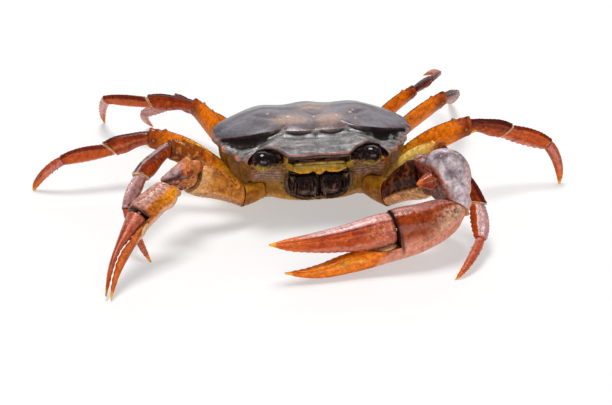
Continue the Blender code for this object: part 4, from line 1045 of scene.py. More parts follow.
def palm_skins(name, claw, frame, turn_way):
    """Palm and fixed finger."""
    side, size = side_of(name), claw["limb"]
    wrist, along, _, _ = frame
    hinge, reach, ledge = claw["hinge"], claw["bottom"][-1][0], claw["ledge"]
    before = np.linspace(0.0, hinge, 90)
    after = hinge + 0.25 + (reach - hinge - 0.25) * np.linspace(0, 1, 120) ** 0.9
    u = np.concatenate([before, after])
    top_end = claw["top"][-1][1] - ledge[0][1]
    sinking = curve(ledge, after) + top_end * smooth(hinge + 9 * size, hinge - 3 * size, after)
    high = np.concatenate([curve(claw["top"], before), sinking])
    cap = np.concatenate([curve(claw["top"], before), curve(ledge, after)])
    low = curve(claw["bottom"], u)
    skin = claw_loft(frame, u, high, low, claw["thickness"], 2.3, 84, cap)
    t, turn, p = skin["t"], skin["turn"], skin["points"]
    past = smooth(hinge, hinge + 1.5, t)
    run = np.clip((t - hinge) / (reach - hinge), 0, 1)
    relief = 0.03 * cloud(p, 0.9, 3) - 0.05 * grains(p, 1.3, 14) * (1 - past * 0.5)
    relief += (0.06 * grains(p, 0.6, 8) * smooth(0.2, 0.8, np.sin(turn) + smooth(0.6, 0.2, t / hinge))
               * (1 - past))
    bite = np.where(run > 0, teeth(run, 17 if side > 0 else 12, 1.3), 0)
    size_of = 0.14 + 0.16 * bell(run, 0.3, 0.05) + 0.12 * bell(run, 0.6, 0.05)
    relief += crown(turn, 90, 20) * bite * size_of * size * smooth(0.06, 0.14, run) * smooth(1.0, 0.9, run)
    for groove in (-35, -145):
        relief -= crown(turn, groove, 12) * 0.12 * past * smooth(1.0, 0.8, run)
    skin = raised(skin, relief)
    n = normals_of(skin)
    patch, fine, spots = cloud(p, 3.6, 12), cloud(p, 0.6, 13), grains(p, 0.8, 22)
    level, near = np.sin(turn), smooth(0.8, 0.15, t / hinge)
    if name == "left":
        base = mix((0.3, 0.05, 0.006), (0.42, 0.18, 0.15), smooth(0.8, 0.9, level + 0.08 * fine))
        tan = smooth(0.75, 0.35, t / hinge + 0.25 * patch + 0.3 * level)
        base = coats(base, [
            ((0.6, 0.36, 0.25), 0.85 * tan * smooth(0.8, 0.6, level)),
            ((0.6, 0.25, 0.17), smooth(0.05, -0.4, level + 0.2 * patch + 0.1 * fine)),
            (MAROON, 0.75 * spots * smooth(0.0, 0.4, level + 0.4 * patch) * smooth(0.85, 0.7, level)),
            ((0.03, 0.012, 0.015), 0.75 * grains(p, 1.0, 52) * near * smooth(-0.3, 0.3, level)),
        ])
        streaked = (smooth(0.1, 0.5, cloud(p * (1.0, 1.0, 1.8), 1.2, 77)) * smooth(0.1, 0.35, level)
                    * smooth(0.85, 0.75, level))
        base = mix(base, (0.11, 0.018, 0.006), 0.6 * streaked * smooth(0.25, 0.6, t / hinge))
    else:
        base = coats(mix((0.5, 0.15, 0.01), (0.22, 0.04, 0.006), smooth(0.0, 0.5, fine + 0.3 * patch)), [
            (YELLOW, 0.5 * smooth(0.3, 0.8, cloud(p, 1.0, 44))),
            ((0.5, 0.26, 0.2), smooth(-0.25, 0.1, level + 0.15 * patch)),
            (GOLD, 0.85 * near * smooth(0.1, -0.3, level)),
            ((0.7, 0.42, 0.3), 0.8 * smooth(-0.72, -0.9, level + 0.1 * patch)),
            (MAROON, 0.7 * grains(p, 0.75, 53) * smooth(-0.8, -0.2, level + 0.3 * patch)),
        ])
    # Painted shade: the palm's end face, in the gap at the finger's hinge, goes near-black.
    flat_end = smooth(0.5, 0.85, n @ along) * (t > hinge * 0.9) * (t < hinge + 0.3)
    base = coats(base, [
        ((0.03, 0.006, 0.004), flat_end),
        (MAROON, 0.85 * bell(t, hinge - 0.2, 0.45) * smooth(-0.75, -0.4, level)),
    ])
    finger = coats(mix(AMBER, ORANGE, smooth(-0.1, 0.5, cloud(p, 1.5, 18)) * 0.9), [
        (BRICK, 0.5 * smooth(0.2, 0.7, fine) + 0.5 * smooth(-0.4, -0.9, level)),
        (YELLOW, 0.75 * smooth(0.0, 0.6, cloud(p, 1.1, 19)) * bell(level, 0.35, 0.45)
         * bell(run, 0.45, 0.35)),
    ])
    if name == "right":
        finger = mix(finger, (0.4, 0.09, 0.035), 0.65)
    base = coats(base, [
        (finger, smooth(hinge + 1.5, hinge + 6.0, t - 3 * smooth(0.2, -0.8, level) + patch)),
        (ORANGE, smooth(reach - 4, reach - 1, t)),
        (HORN, smooth(reach - 2.2, reach - 0.6, t)),
    ])
    skin = painted(skin, base, 0.55 + 0.2 * fine)
    return [behind(skin, wrist + turn_way * GAP / 2, -turn_way)]


def finger_skins(name, claw, frame):
    side, size = side_of(name), claw["limb"]
    start, tip_u = claw["finger_top"][0][0], claw["finger_top"][-1][0]
    u = start + (tip_u - start) * np.linspace(0, 1, 170) ** 0.95
    skin = claw_loft(frame, u, curve(claw["finger_top"], u), curve(claw["finger_bottom"], u),
                     claw["finger_thickness"], 2.2)
    t, turn, p = skin["t"], skin["turn"], skin["points"]
    run = (t - start) / (tip_u - start)
    fade = smooth(0.0, 0.06, run) * smooth(1.0, 0.85, run)
    relief = 0.03 * cloud(p, 0.8, 3) - 0.05 * grains(p, 1.1, 14) * fade
    relief += 0.07 * grains(p, 0.55, 9) * smooth(0.4, 0.1, run) * fade
    for groove in (28, 152):
        relief -= crown(turn, groove, 7) * 0.2 * fade
    for groove in (-35, -145):
        relief -= crown(turn, groove, 10) * 0.12 * fade
    bite = teeth(run, 19 if side > 0 else 13, 1.3)
    size_of = 0.12 + 0.15 * bell(run, 0.28, 0.05) + 0.1 * bell(run, 0.55, 0.05)
    relief += crown(turn, -90, 20) * bite * size_of * size * smooth(0.08, 0.18, run) * smooth(0.97, 0.86, run)
    relief -= 0.2 * smooth(0.03, 0.0, run)
    skin = raised(skin, relief)
    patch, fine = cloud(p, 2.6, 32), cloud(p, 0.55, 33)
    level = np.sin(turn)
    base = coats(mix((0.46, 0.075, 0.003), (0.28, 0.03, 0.004), smooth(-0.2, 0.6, patch + 0.4 * fine)), [
        ((0.52, 0.17, 0.11), smooth(-0.25, -0.6, level + 0.15 * patch)),
        # Partly pink, partly painted sheen: the pale lilac strip along the top
        ((0.57, 0.33, 0.32), smooth(0.66, 0.76, level + 0.05 * fine) * smooth(0.95, 0.6, run)),
        ((0.14, 0.014, 0.006), 0.85 * bell(level, 0.62, 0.06) * smooth(0.95, 0.75, run)),
        (PINK, 0.5 * smooth(0.3, 0.0, run)),
        (CREAM, 0.55 * grains(p, 0.55, 9) * smooth(0.4, 0.05, run + 0.1 * patch)),
        (ORANGE, smooth(0.55, 0.95, run + 0.1 * patch) * 0.8),
        (HORN, smooth(tip_u - 2.2, tip_u - 0.6, t)),
    ])
    if name == "right":
        base = coats(base, [
            ((0.36, 0.07, 0.02), 0.5),
            ((0.6, 0.3, 0.26), 0.6 * bell(level, 0.1, 0.2) * smooth(0.9, 0.5, run)),
        ])
    # Painted shade: the finger's root, in the gap at its hinge, goes dark maroon
    base = mix(base, MAROON, 0.9 * smooth(0.03, 0.0, run))
    return [painted(skin, base, 0.55 + 0.2 * fine)]


def cheliped_skins(name, claw):
    """Ischium, merus, carpus, palm and finger of one cheliped, with the soft skin of their joints."""
    side, size = side_of(name), claw["limb"]
    (_, ischium_end, merus_end), ways = claw_ways(name)
    frame = claw_frame(claw, side)
    wrist, along, up, across = frame
    middle = on_side(claw["carpus_middle"], side)
    merus_up = upright(ways[1])
    elbow, knee = unit(ways[0] + ways[1]), unit(ways[1] + unit(middle - merus_end))
    turn_way = unit(unit(wrist - middle) + along)
    made = {
        "ischium": ischium_skins(name),
        "merus": claw_merus_skins(name, claw, ischium_end, elbow, merus_end, knee, merus_up),
        "carpus": claw_carpus_skins(name, claw, frame, middle, merus_end, knee, merus_up, turn_way),
        "palm": palm_skins(name, claw, frame, turn_way),
        "finger": finger_skins(name, claw, frame),
    }
    half = (claw["finger_top"][0][1] - claw["finger_bottom"][0][1]) / 2
    wide = claw["finger_thickness"][0][1]
    root = wrist + along * (claw["hinge"] + 0.2) + up * (claw["finger_top"][0][1] - half)
    made["finger"] += joint_skins(root, along, up, half * 0.9, wide * 0.85, MAROON, True)
    slope = unit(along - up * 0.12)
    web = wrist + along * (claw["hinge"] + 3.1 * size) + up * (claw["finger_bottom"][0][1] - 0.65 * size)
    pad = ellipsoid(web, (slope, np.cross(across, slope), across), (3.0 * size, 0.8 * size, wide * 0.9),
                    28, 14)
    pad = roughened(pad, 0.06, 0.9, 6)
    made["palm"].append(painted(pad, mix(CREAM, TAN, 0.25 + 0.4 * cloud(pad["points"], 1.2, 4)), 0.5))
    made["merus"] += joint_skins(merus_end, knee, merus_up, 3.9 * size, 3.0 * size, UMBER)
    made["carpus"] += joint_skins(wrist, turn_way, up, 2.9 * size, 2.5 * size, (0.6, 0.28, 0.1))
    made["ischium"] += joint_skins(ischium_end, elbow, merus_up, 3.0 * size, 2.4 * size, UMBER)
    return made


# Body


def margin(steps):
    half = []
    for run in (FRONT, ORBIT_EDGE, TOOTH_NOTCHES, REAR_SIDE):
        index = np.arange(len(run))
        t = np.arange((len(run) - 1) * steps) / steps
        columns = np.array(run).T
        if run is TOOTH_NOTCHES:
            part = [np.interp(t, index, c) for c in columns]
        else:
            part = [curve(list(zip(index, c)), t) for c in columns]
        half.append(np.stack(part, -1))
    half = np.concatenate(half + [np.array([REAR_SIDE[-1]])])
    return np.concatenate([half, half[-2:0:-1] * (-1, 1, 1)])


def crest_line(x, y):
    """Crest on the way from the pole to (x, y): reach, height, step, how far the step is filled, and
    whether (x, y) lies in front of the pole, where the crest runs."""
    angle = np.arctan2(-(y - POLE[1]), abs(x))

    def follow(knots):
        knots = np.array(knots)[::-1]
        angles = np.arctan2(-(knots[:, 1] - POLE[1]), knots[:, 0])
        reach = np.interp(angle, angles, np.hypot(knots[:, 0], knots[:, 1] - POLE[1]))
        return reach, np.interp(angle, angles, knots[:, 2]), angles[0]

    reach, height, first = follow(OUTER_CREST)
    inner_reach, inner_height, _ = follow(INNER_CREST)
    across = abs(reach * np.cos(angle))
    inner = smooth(7.5, 7.0, across) * (angle > 0)
    reach = reach + inner * (inner_reach - reach)
    height = height + inner * (inner_height - height)
    lens = np.clip(1 - ((across - 3.5) / 3.4) ** 2, 0.0, 1.0)
    step = CREST_STEP * np.clip((angle - first) / 0.35, 0, 1)
    filled = inner * (1 - lens) + (1 - inner) * 0.8 * smooth(10.0, 7.4, across)
    return reach, height, step, filled, angle > first


def dome(x, y):
    z = DOME_TOP - DOME_LENGTHWISE * (y - DOME_MIDDLE_Y) ** 2 - DOME_ACROSS * abs(x) ** 3
    for across, along, spread, rise in LOBES:
        for middle in {across, -across}:
            z = z + rise * np.exp(-((x - middle) ** 2 + (y - along) ** 2) / spread ** 2)
    return z


def under_z(edge, share):
    y = POLE[1] + share * (edge[:, 1] - POLE[1])
    middle = UNDER_MIDDLE_Z - UNDER_SLOPE * y
    return middle + (edge[:, 2] - EDGE - middle) * share ** 3


def carapace_shape(steps=14):
    edge = margin(steps)
    way = edge[:, :2] - POLE
    far = np.linalg.norm(way, axis=1)
    reach, height, step, filled, ahead = crest_line(edge[:, 0], edge[:, 1])
    share = np.where(ahead, np.minimum(reach / far, 1.0), 1.0)
    height = np.where(ahead, height, edge[:, 2])
    step = np.where(ahead, step, 0.0)
    crest = POLE + way * share[:, None]
    lift = height - dome(*crest.T)
    rings = []
    for s in np.linspace(0.01, 1.0, 76):
        flat = POLE + way * (share * s)[:, None]
        rings.append(np.c_[flat, dome(*flat.T) + lift * s ** 8])
    for s in np.concatenate([[0.025, 0.06, 0.1], np.linspace(0.15, 1.0, 22)]):
        here = share + (1 - share) * s
        flat = POLE + way * here[:, None]
        fill = step * filled * np.exp(-(((1 - share) * s * far) / 0.8) ** 2)
        z = (height - step) + (edge[:, 2] - height + step) * s + fill
        z = np.where(share > 0.995, edge[:, 2] - EDGE * 0.15 * s, z)
        rings.append(np.c_[flat, z])
    for drop, out in ((0.12, 0.06), (0.3, 0.08), (0.5, 0.04), (0.7, -0.05)):
        flat = edge[:, :2] + way / far[:, None] * out
        rings.append(np.c_[flat, edge[:, 2] - EDGE * (0.15 + 0.7 * drop)])
    for s in (0.985, 0.965, RIM, 0.9, 0.8, 0.65, 0.5, 0.3, 0.1, 0.01):
        rings.append(np.c_[POLE + way * s, under_z(edge, s)])
    return loft(np.array(rings))


def orbit_hollows():
    return [ellipsoid(on_side(ORBIT_MIDDLE, side), np.eye(3), ORBIT_RADII, 64, 44) for side in (-1, 1)]


def orbit_depth(p):
    """0 on the orbit's wall and more outside it, for the nearer orbit."""
    q = p * (np.sign(p[:, :1]) * (1, 0, 0) + (0, 1, 1))
    upper = np.linalg.norm((q - ORBIT_MIDDLE) / ORBIT_RADII, axis=1) - 1
    lower = np.linalg.norm((q - LOWER_ORBIT) / LOWER_ORBIT_RADII, axis=1) - 1
    return np.minimum(upper, lower * 0.8)


def mouth_taper(z):
    """Width of the mouth at height z, as a share of its width at the top."""
    return 1 - 0.2 * ((13.8 - np.minimum(z, 13.8)) / 7.4) ** 2


def mouth_hollow():
    axes = (np.array([0.0, -1.0, 0.0]), np.array([0.0, 0.0, 1.0]), np.array([1.0, 0.0, 0.0]))
    across, deep, tall = MOUTH_HOLLOW_RADII
    skin = ellipsoid(MOUTH_HOLLOW, axes, (deep, tall, across), 96, 60, MOUTH_POWER)
    skin["points"][:, 0] *= mouth_taper(skin["points"][:, 2])
    return skin


def mouth_depth(p):
    """0 on the wall of the mouth and more outside it."""
    q = abs((p - MOUTH_HOLLOW) / MOUTH_HOLLOW_RADII)
    q[:, 0] /= mouth_taper(p[:, 2])
    return np.hypot((q[:, 0] ** MOUTH_POWER + q[:, 2] ** MOUTH_POWER) ** (1 / MOUTH_POWER), q[:, 1]) - 1


def carapace_skins():
    skin = worked([carapace_shape()], orbit_hollows())
    p = skin["points"]
    x, y = p[:, 0], p[:, 1]
    side = abs(x)
    n = normals_of(skin)
    reach, _, step, filled, ahead = crest_line(x, y)
    gone = np.hypot(x - POLE[0], y - POLE[1]) - reach
    back = np.where(ahead, smooth(0.05, -0.35, gone), 1.0)
    strip = 1 - back
    top = smooth(0.0, 0.3, n[:, 2])
    orbit = orbit_depth(p)
    hollow = smooth(0.06, 0.02, orbit)

    relief = np.zeros(len(p))
    blur = 0.25 * cloud(p, 1.2, 51)
    centre = bell(x + blur, -0.1, 0.5) * smooth(-3.0, -4.5, y) * smooth(-10.5, -9.0, y)
    left_arm = (bell(y + blur - (-3.1 - 1.3 * (x - 0.3)), 0.0, 0.8) * smooth(-2.8, -1.2, x)
                * smooth(0.9, 0.1, x))
    right_arm = (bell(y + blur - (-3.1 + 0.57 * (x - 0.3)), 0.0, 0.6) * smooth(3.4, 1.8, x)
                 * smooth(-0.3, 0.5, x))
    arms = np.maximum(left_arm, right_arm)
    curl = (bell(np.hypot(side - 6.2, (y - 3.0) * 0.8) - 4.4, 0.0, 0.7) * smooth(-1.0, 3.0, y)
            * smooth(12.0, 9.0, side))
    cervical = (bell(y - (-4.5 + 0.045 * (side - 6) ** 2), 0.0, 0.9) * smooth(8.0, 10.0, side)
                * smooth(17.0, 13.0, side))
    relief -= back * top * (0.1 * centre + 0.1 * arms + 0.1 * curl + 0.1 * cervical)
    below = np.clip(gone, 0.0, 9.0)
    width = np.where(x < 0, 5.2, 4.0)
    # Painted shade: hollows and slit mark the recesses under the crest and the thin line below its overhang,
    # which are painted near-black further down.
    hollows = bell(side, 16.6, width) * smooth(3.6, 1.4, below + 0.6 * cloud(p, 1.3, 28))
    hollows = hollows * (1 - 0.75 * (x > 0) * smooth(-0.2, 0.4, cloud(p, 2.0, 38)) * smooth(0.3, 0.9, below))
    slit = 0.8 * bell(below, 0.3, 0.5) * smooth(10.5, 12.0, side) * smooth(24.0, 22.0, side)
    hollows = np.maximum(hollows, slit)
    relief -= strip * top * 0.75 * bell(side, 16.5, width) * bell(below, 1.3, 1.3)
    relief -= strip * top * 0.12 * bell(x, 0.0, 0.25) * smooth(-16.0, -13.0, y)
    flankward = smooth(15.0, 22.0, side) * smooth(9.0, -2.0, y)
    beads = 0.06 * grains(p, 0.75, 4) * flankward + 0.1 * grains(p, 0.6, 5) * smooth(20.5, 24.0, side)
    relief += beads * (1 - hollow)
    relief += 0.08 * grains(p, 0.55, 6) * strip * smooth(12.0, 18.0, side) * (1 - hollow)
    relief += (top * (0.02 * cloud(p, 1.6, 7) + 0.008 * cloud(p, 0.5, 17))
               - top * 0.02 * grains(p, 1.5, 9) * back)
    scratches = cloud(p * (0.25, 2.2, 1.0), 1.0, 27)
    relief += 0.025 * strip * top * scratches
    striae = np.abs(np.sin(3.1 * y + 0.8 * side)) ** 6 * smooth(19.0, 22.5, side) * smooth(12.0, 5.0, y)
    relief += 0.05 * striae * top
    margin_beads = grains(p, 0.6, 12) * smooth(0.25, -0.25, n[:, 2]) * (n[:, 2] > -0.8)
    relief += 0.06 * margin_beads
    skin = raised(skin, relief)

    patch, fine, mottle = cloud(p, 4.5, 21), cloud(p, 0.55, 22), cloud(p, 1.6, 23)
    base = mix(PLUM, SLATE, 0.5 + 0.8 * patch)
    warm = np.zeros(len(p))
    for a, b, c, d in WARM_PATCHES:
        inside = 1 - np.hypot((x - a) / c, (y - b) / d)
        warm = np.maximum(warm, smooth(-0.45, 0.45, inside + 0.3 * mottle + 0.12 * fine))
    base = coats(base, [
        ((0.29, 0.17, 0.12), back * warm * 0.85),
        ((0.34, 0.12, 0.06), back * warm * 0.4 * smooth(0.2, 0.8, mottle)),
        (PLUM, 0.75 * back * np.maximum(0.8 * centre, arms)),
        ((0.16, 0.09, 0.075), 0.5 * back * bell(x, 0.5, 9.0) * bell(y, -4.0, 5.5) * (1 - warm)),
        (UMBER, 0.35 * smooth(0.2, 0.8, mottle) * smooth(8.0, 17.0, y)),
    ])
    for a, b, r in LIGHT_SPOTS:
        base = mix(base, CREAM, 0.6 * smooth(1.3, 0.4, np.hypot(x - a, y - b) / r + 0.4 * fine))
    streak = bell(below, 1.9 - 0.3 * (side - 16.0), 0.3) * bell(side, 15.6, 1.3)
    front = coats(mix((0.075, 0.072, 0.08), ASH, 0.45 + 1.1 * scratches + 0.35 * fine), [
        # painted shade: near-black in the hollows under the crest
        ((0.012, 0.007, 0.006), smooth(0.2, 0.55, hollows + 0.45 * mottle + 0.2 * fine)),
        ((0.1, 0.07, 0.035), 0.5 * hollows * smooth(0.3, 0.55, cloud(p * (1.0, 0.6, 1.0), 1.0, 68))),
        ((0.4, 0.24, 0.06), 0.6 * streak * smooth(-0.1, 0.4, fine)),
        (ASH, 0.5 * smooth(0.2, 0.6, cloud(p, 0.8, 29)) * smooth(0.3, 0.1, hollows)),
    ])
    base = mix(base, front, strip * (p[:, 2] > 15.0))
    # Painted shade: the shelf is the steep face under each epigastric crest, in the crest's shadow, painted
    # near-black below.
    drop = step * (1 - filled)
    shelf = (ahead * smooth(-0.05, 0.06, gone) * smooth(0.75, 0.3, gone / (0.3 + drop))
             * smooth(0.15, 0.5, drop))
    base = coats(base, [
        ((0.1, 0.05, 0.055), 0.6 * ahead * bell(gone, -0.7, 0.4)),
        ((0.3, 0.16, 0.16), 0.8 * ahead * bell(gone, -0.14, 0.12)),
        ((0.008, 0.004, 0.004), shelf),
    ])
    near = np.full(len(p), 9.0)
    for corner in margin(6):
        near = np.minimum(near, np.linalg.norm(p - corner, axis=1))
    front_rim = smooth(7.9, 7.2, side) * (y < 0)
    base = coats(base, [
        ((0.06, 0.008, 0.004), front_rim * smooth(1.1, 0.5, near) * smooth(0.3, -0.2, n[:, 2])),
        ((0.44, 0.065, 0.014), 0.95 * front_rim * smooth(0.36, 0.16, near + 0.06 * fine)),
    ])
    for a, b, c in TOOTH_NOTCHES[0::2]:
        tooth = np.stack([np.sign(x) * a, np.full(len(p), b), np.full(len(p), c)], -1)
        base = mix(base, (0.55, 0.2, 0.1), smooth(1.1, 0.3, np.linalg.norm(p - tooth, axis=1)) * 0.85)
    rim = smooth(0.55, 0.15, near + 0.12 * fine)
    base = mix(base, PINK, 0.3 * rim * (side > 7.9) * (y < 0))
    under = smooth(0.0, -0.4, n[:, 2]) * (near > 0.9)
    base = coats(base, [
        (OLIVE, under),
        # painted shade: the orbit's hollow goes near-black
        ((0.006, 0.004, 0.005), hollow),
    ])
    lip = smooth(0.14, 0.05, orbit) * (1 - hollow) * (y < -12)
    base = coats(base, [
        (MAROON, 0.6 * lip),
        ((0.45, 0.1, 0.03), 0.9 * lip * smooth(15.5, 17.0, side)),
    ])
    gloss = (0.5 + 0.25 * strip + 0.15 * fine) * (1 - front_rim * smooth(0.4, 0.0, n[:, 2]))
    # Gloss drops to nothing where shade is painted in the crest's hollows, on the shelf and in the orbits, so
    # these stay black.
    gloss = gloss * (1 - strip * smooth(0.2, 0.5, hollows + 0.2 * fine)) * (1 - shelf) * (1 - hollow)
    return [painted(skin, base, np.clip(gloss, 0, 1))]


def coxa(root, end, way_on, girth):
    way = unit(end - root)
    start = root - way * COXA_SINK
    height, width = sized(COXA_HEIGHT, girth), sized(COXA_WIDTH, girth)
    bend = unit(way + way_on)
    planes = ((start, way), (end - bend * GAP / 2, bend))
    return limb(start, end, planes, upright(way), height, width, 2.2, 0.0, 32, 16, None)


def sternum_outline(edge):
    way = unit_rows(edge[:, :2] - POLE)
    half_length = (STERNUM_REAR - STERNUM_FRONT) / 2
    middle_y = (STERNUM_REAR + STERNUM_FRONT) / 2
    low, high = np.zeros(len(edge)), np.full(len(edge), 40.0)
    for _ in range(40):
        reach = (low + high) / 2
        x, y = way[:, 0] * reach, POLE[1] + way[:, 1] * reach - middle_y
        inside = abs(x / STERNUM_HALF_WIDTH) ** STERNUM_POWER + abs(y / half_length) ** STERNUM_POWER < 1
        low, high = np.where(inside, reach, low), np.where(inside, high, reach)
    return POLE + way * low[:, None]


def unit_rows(v):
    return v / np.linalg.norm(v, axis=1, keepdims=True)


def stalk_shape(side, clearance, **more):
    root, eye = on_side(STALK_ROOT, side), on_side(EYE_MIDDLE, side)
    way = unit(eye - root)
    neck = eye - way * EYE_RADIUS * NECK_SHARE
    radii = [(0.0, STALK_RADII[0] + clearance), (1.0, STALK_RADII[1] + clearance)]
    planes = ((root - way * clearance, way), (neck - way * GAP / 2, way))
    return limb(root, neck, planes, upright(way), radii, radii, 2.0, 0.0, lips=None, **more)


def thorax_shape():
    """Underside, wall and coxae in one, with sockets for the face, the eyes and the limbs."""
    edge = margin(4)
    foot = sternum_outline(edge)
    way = edge[:, :2] - POLE
    rings = [np.c_[POLE + way * s, under_z(edge, s) - GAP] for s in (0.01, 0.3, 0.5, 0.65, 0.8, 0.9, RIM)]
    rim = rings[-1]
    for turn in range(6, 91, 6):
        c, s = math.cos(math.radians(turn)), math.sin(math.radians(turn))
        rings.append(np.c_[foot + (rim[:, :2] - foot) * c, rim[:, 2] + (WALL_FOOT_Z - rim[:, 2]) * s])
    for s in (0.95, 0.9, 0.82, 0.7, 0.5, 0.25, 0.01):
        z = BELLY_Z + (WALL_FOOT_Z - BELLY_Z) * max(0.0, s - 0.6) * (1.2 + 1.3 * smooth(0.82, 1.0, s))
        rings.append(np.c_[POLE + (foot - POLE) * s, np.full(len(foot), z)])
    parts = [loft(np.array(rings))]
    for key in LEG_POSES:
        points, ways = leg_joints(key)
        root = on_side(LEG_ROOTS[int(key[0])], side_of(key))
        parts.append(coxa(root, points[0], ways[0], girth_of(key)))
    for name, claw in CLAWS.items():
        (root, _, _), (onward, _) = claw_ways(name)
        parts.append(coxa(root, root + onward * CLAW_COXA_LENGTH, onward, 1.15 * claw["limb"] + 0.1))
    cutters = orbit_hollows()
    cutters.append(mouth_hollow())
    cutters.append(box((0.0, FACE_DEPTH_Y - 5.0, MOUTH_TOP + 3.1), (FACE_HALF_WIDTH * 2, 10.0, 7.0)))
    cutters += [stalk_shape(side, GAP, around=24, levels=8) for side in (-1, 1)]
    cutters += [merus_shape(key, GAP, around=32, levels=24, lips=None) for key in LEG_POSES]
    cutters += [ischium_shape(name, GAP, around=32, levels=16, lips=None) for name in CLAWS]
    cutters += [ellipsoid(on_side(LOWER_ORBIT, side), np.eye(3), LOWER_ORBIT_RADII, 48, 32, 2.0)
                for side in (-1, 1)]
    return worked(parts, cutters, THORAX_VOXEL, 2)


def mouth_hair(p, n, depth, ahead):
    """Three rows of short hair round the mouth."""
    z = p[:, 2]
    bristles = []
    for row, (near, long) in enumerate(((0.07, 1.0), (0.15, 1.1), (0.25, 1.1))):
        rim = np.flatnonzero((abs(depth - near) < 0.03) & ahead.astype(bool) & (z < MOUTH_TOP) & (z > 6.0))
        for k, at in enumerate(rim[::max(1, len(rim) // 150)]):
            h = hashed(np.array([float(k), float(row), 5.0]), 31)
            inward = unit(np.array(MOUTH_HOLLOW) - p[at] - (0.0, 1.0, 0.0))
            tip = p[at] + (inward * 0.7 + np.array([0.3 * (h - 0.5), -0.35, -0.4])) * long * (0.7 + 0.7 * h)
            bristles.append(bristle(p[at] + n[at] * -0.1, tip, 0.1, 0.015, 3, (0.1, 0.04, 0.015),
                                    (0.42, 0.27, 0.16), h ** 2, 0.3))
    return bristles


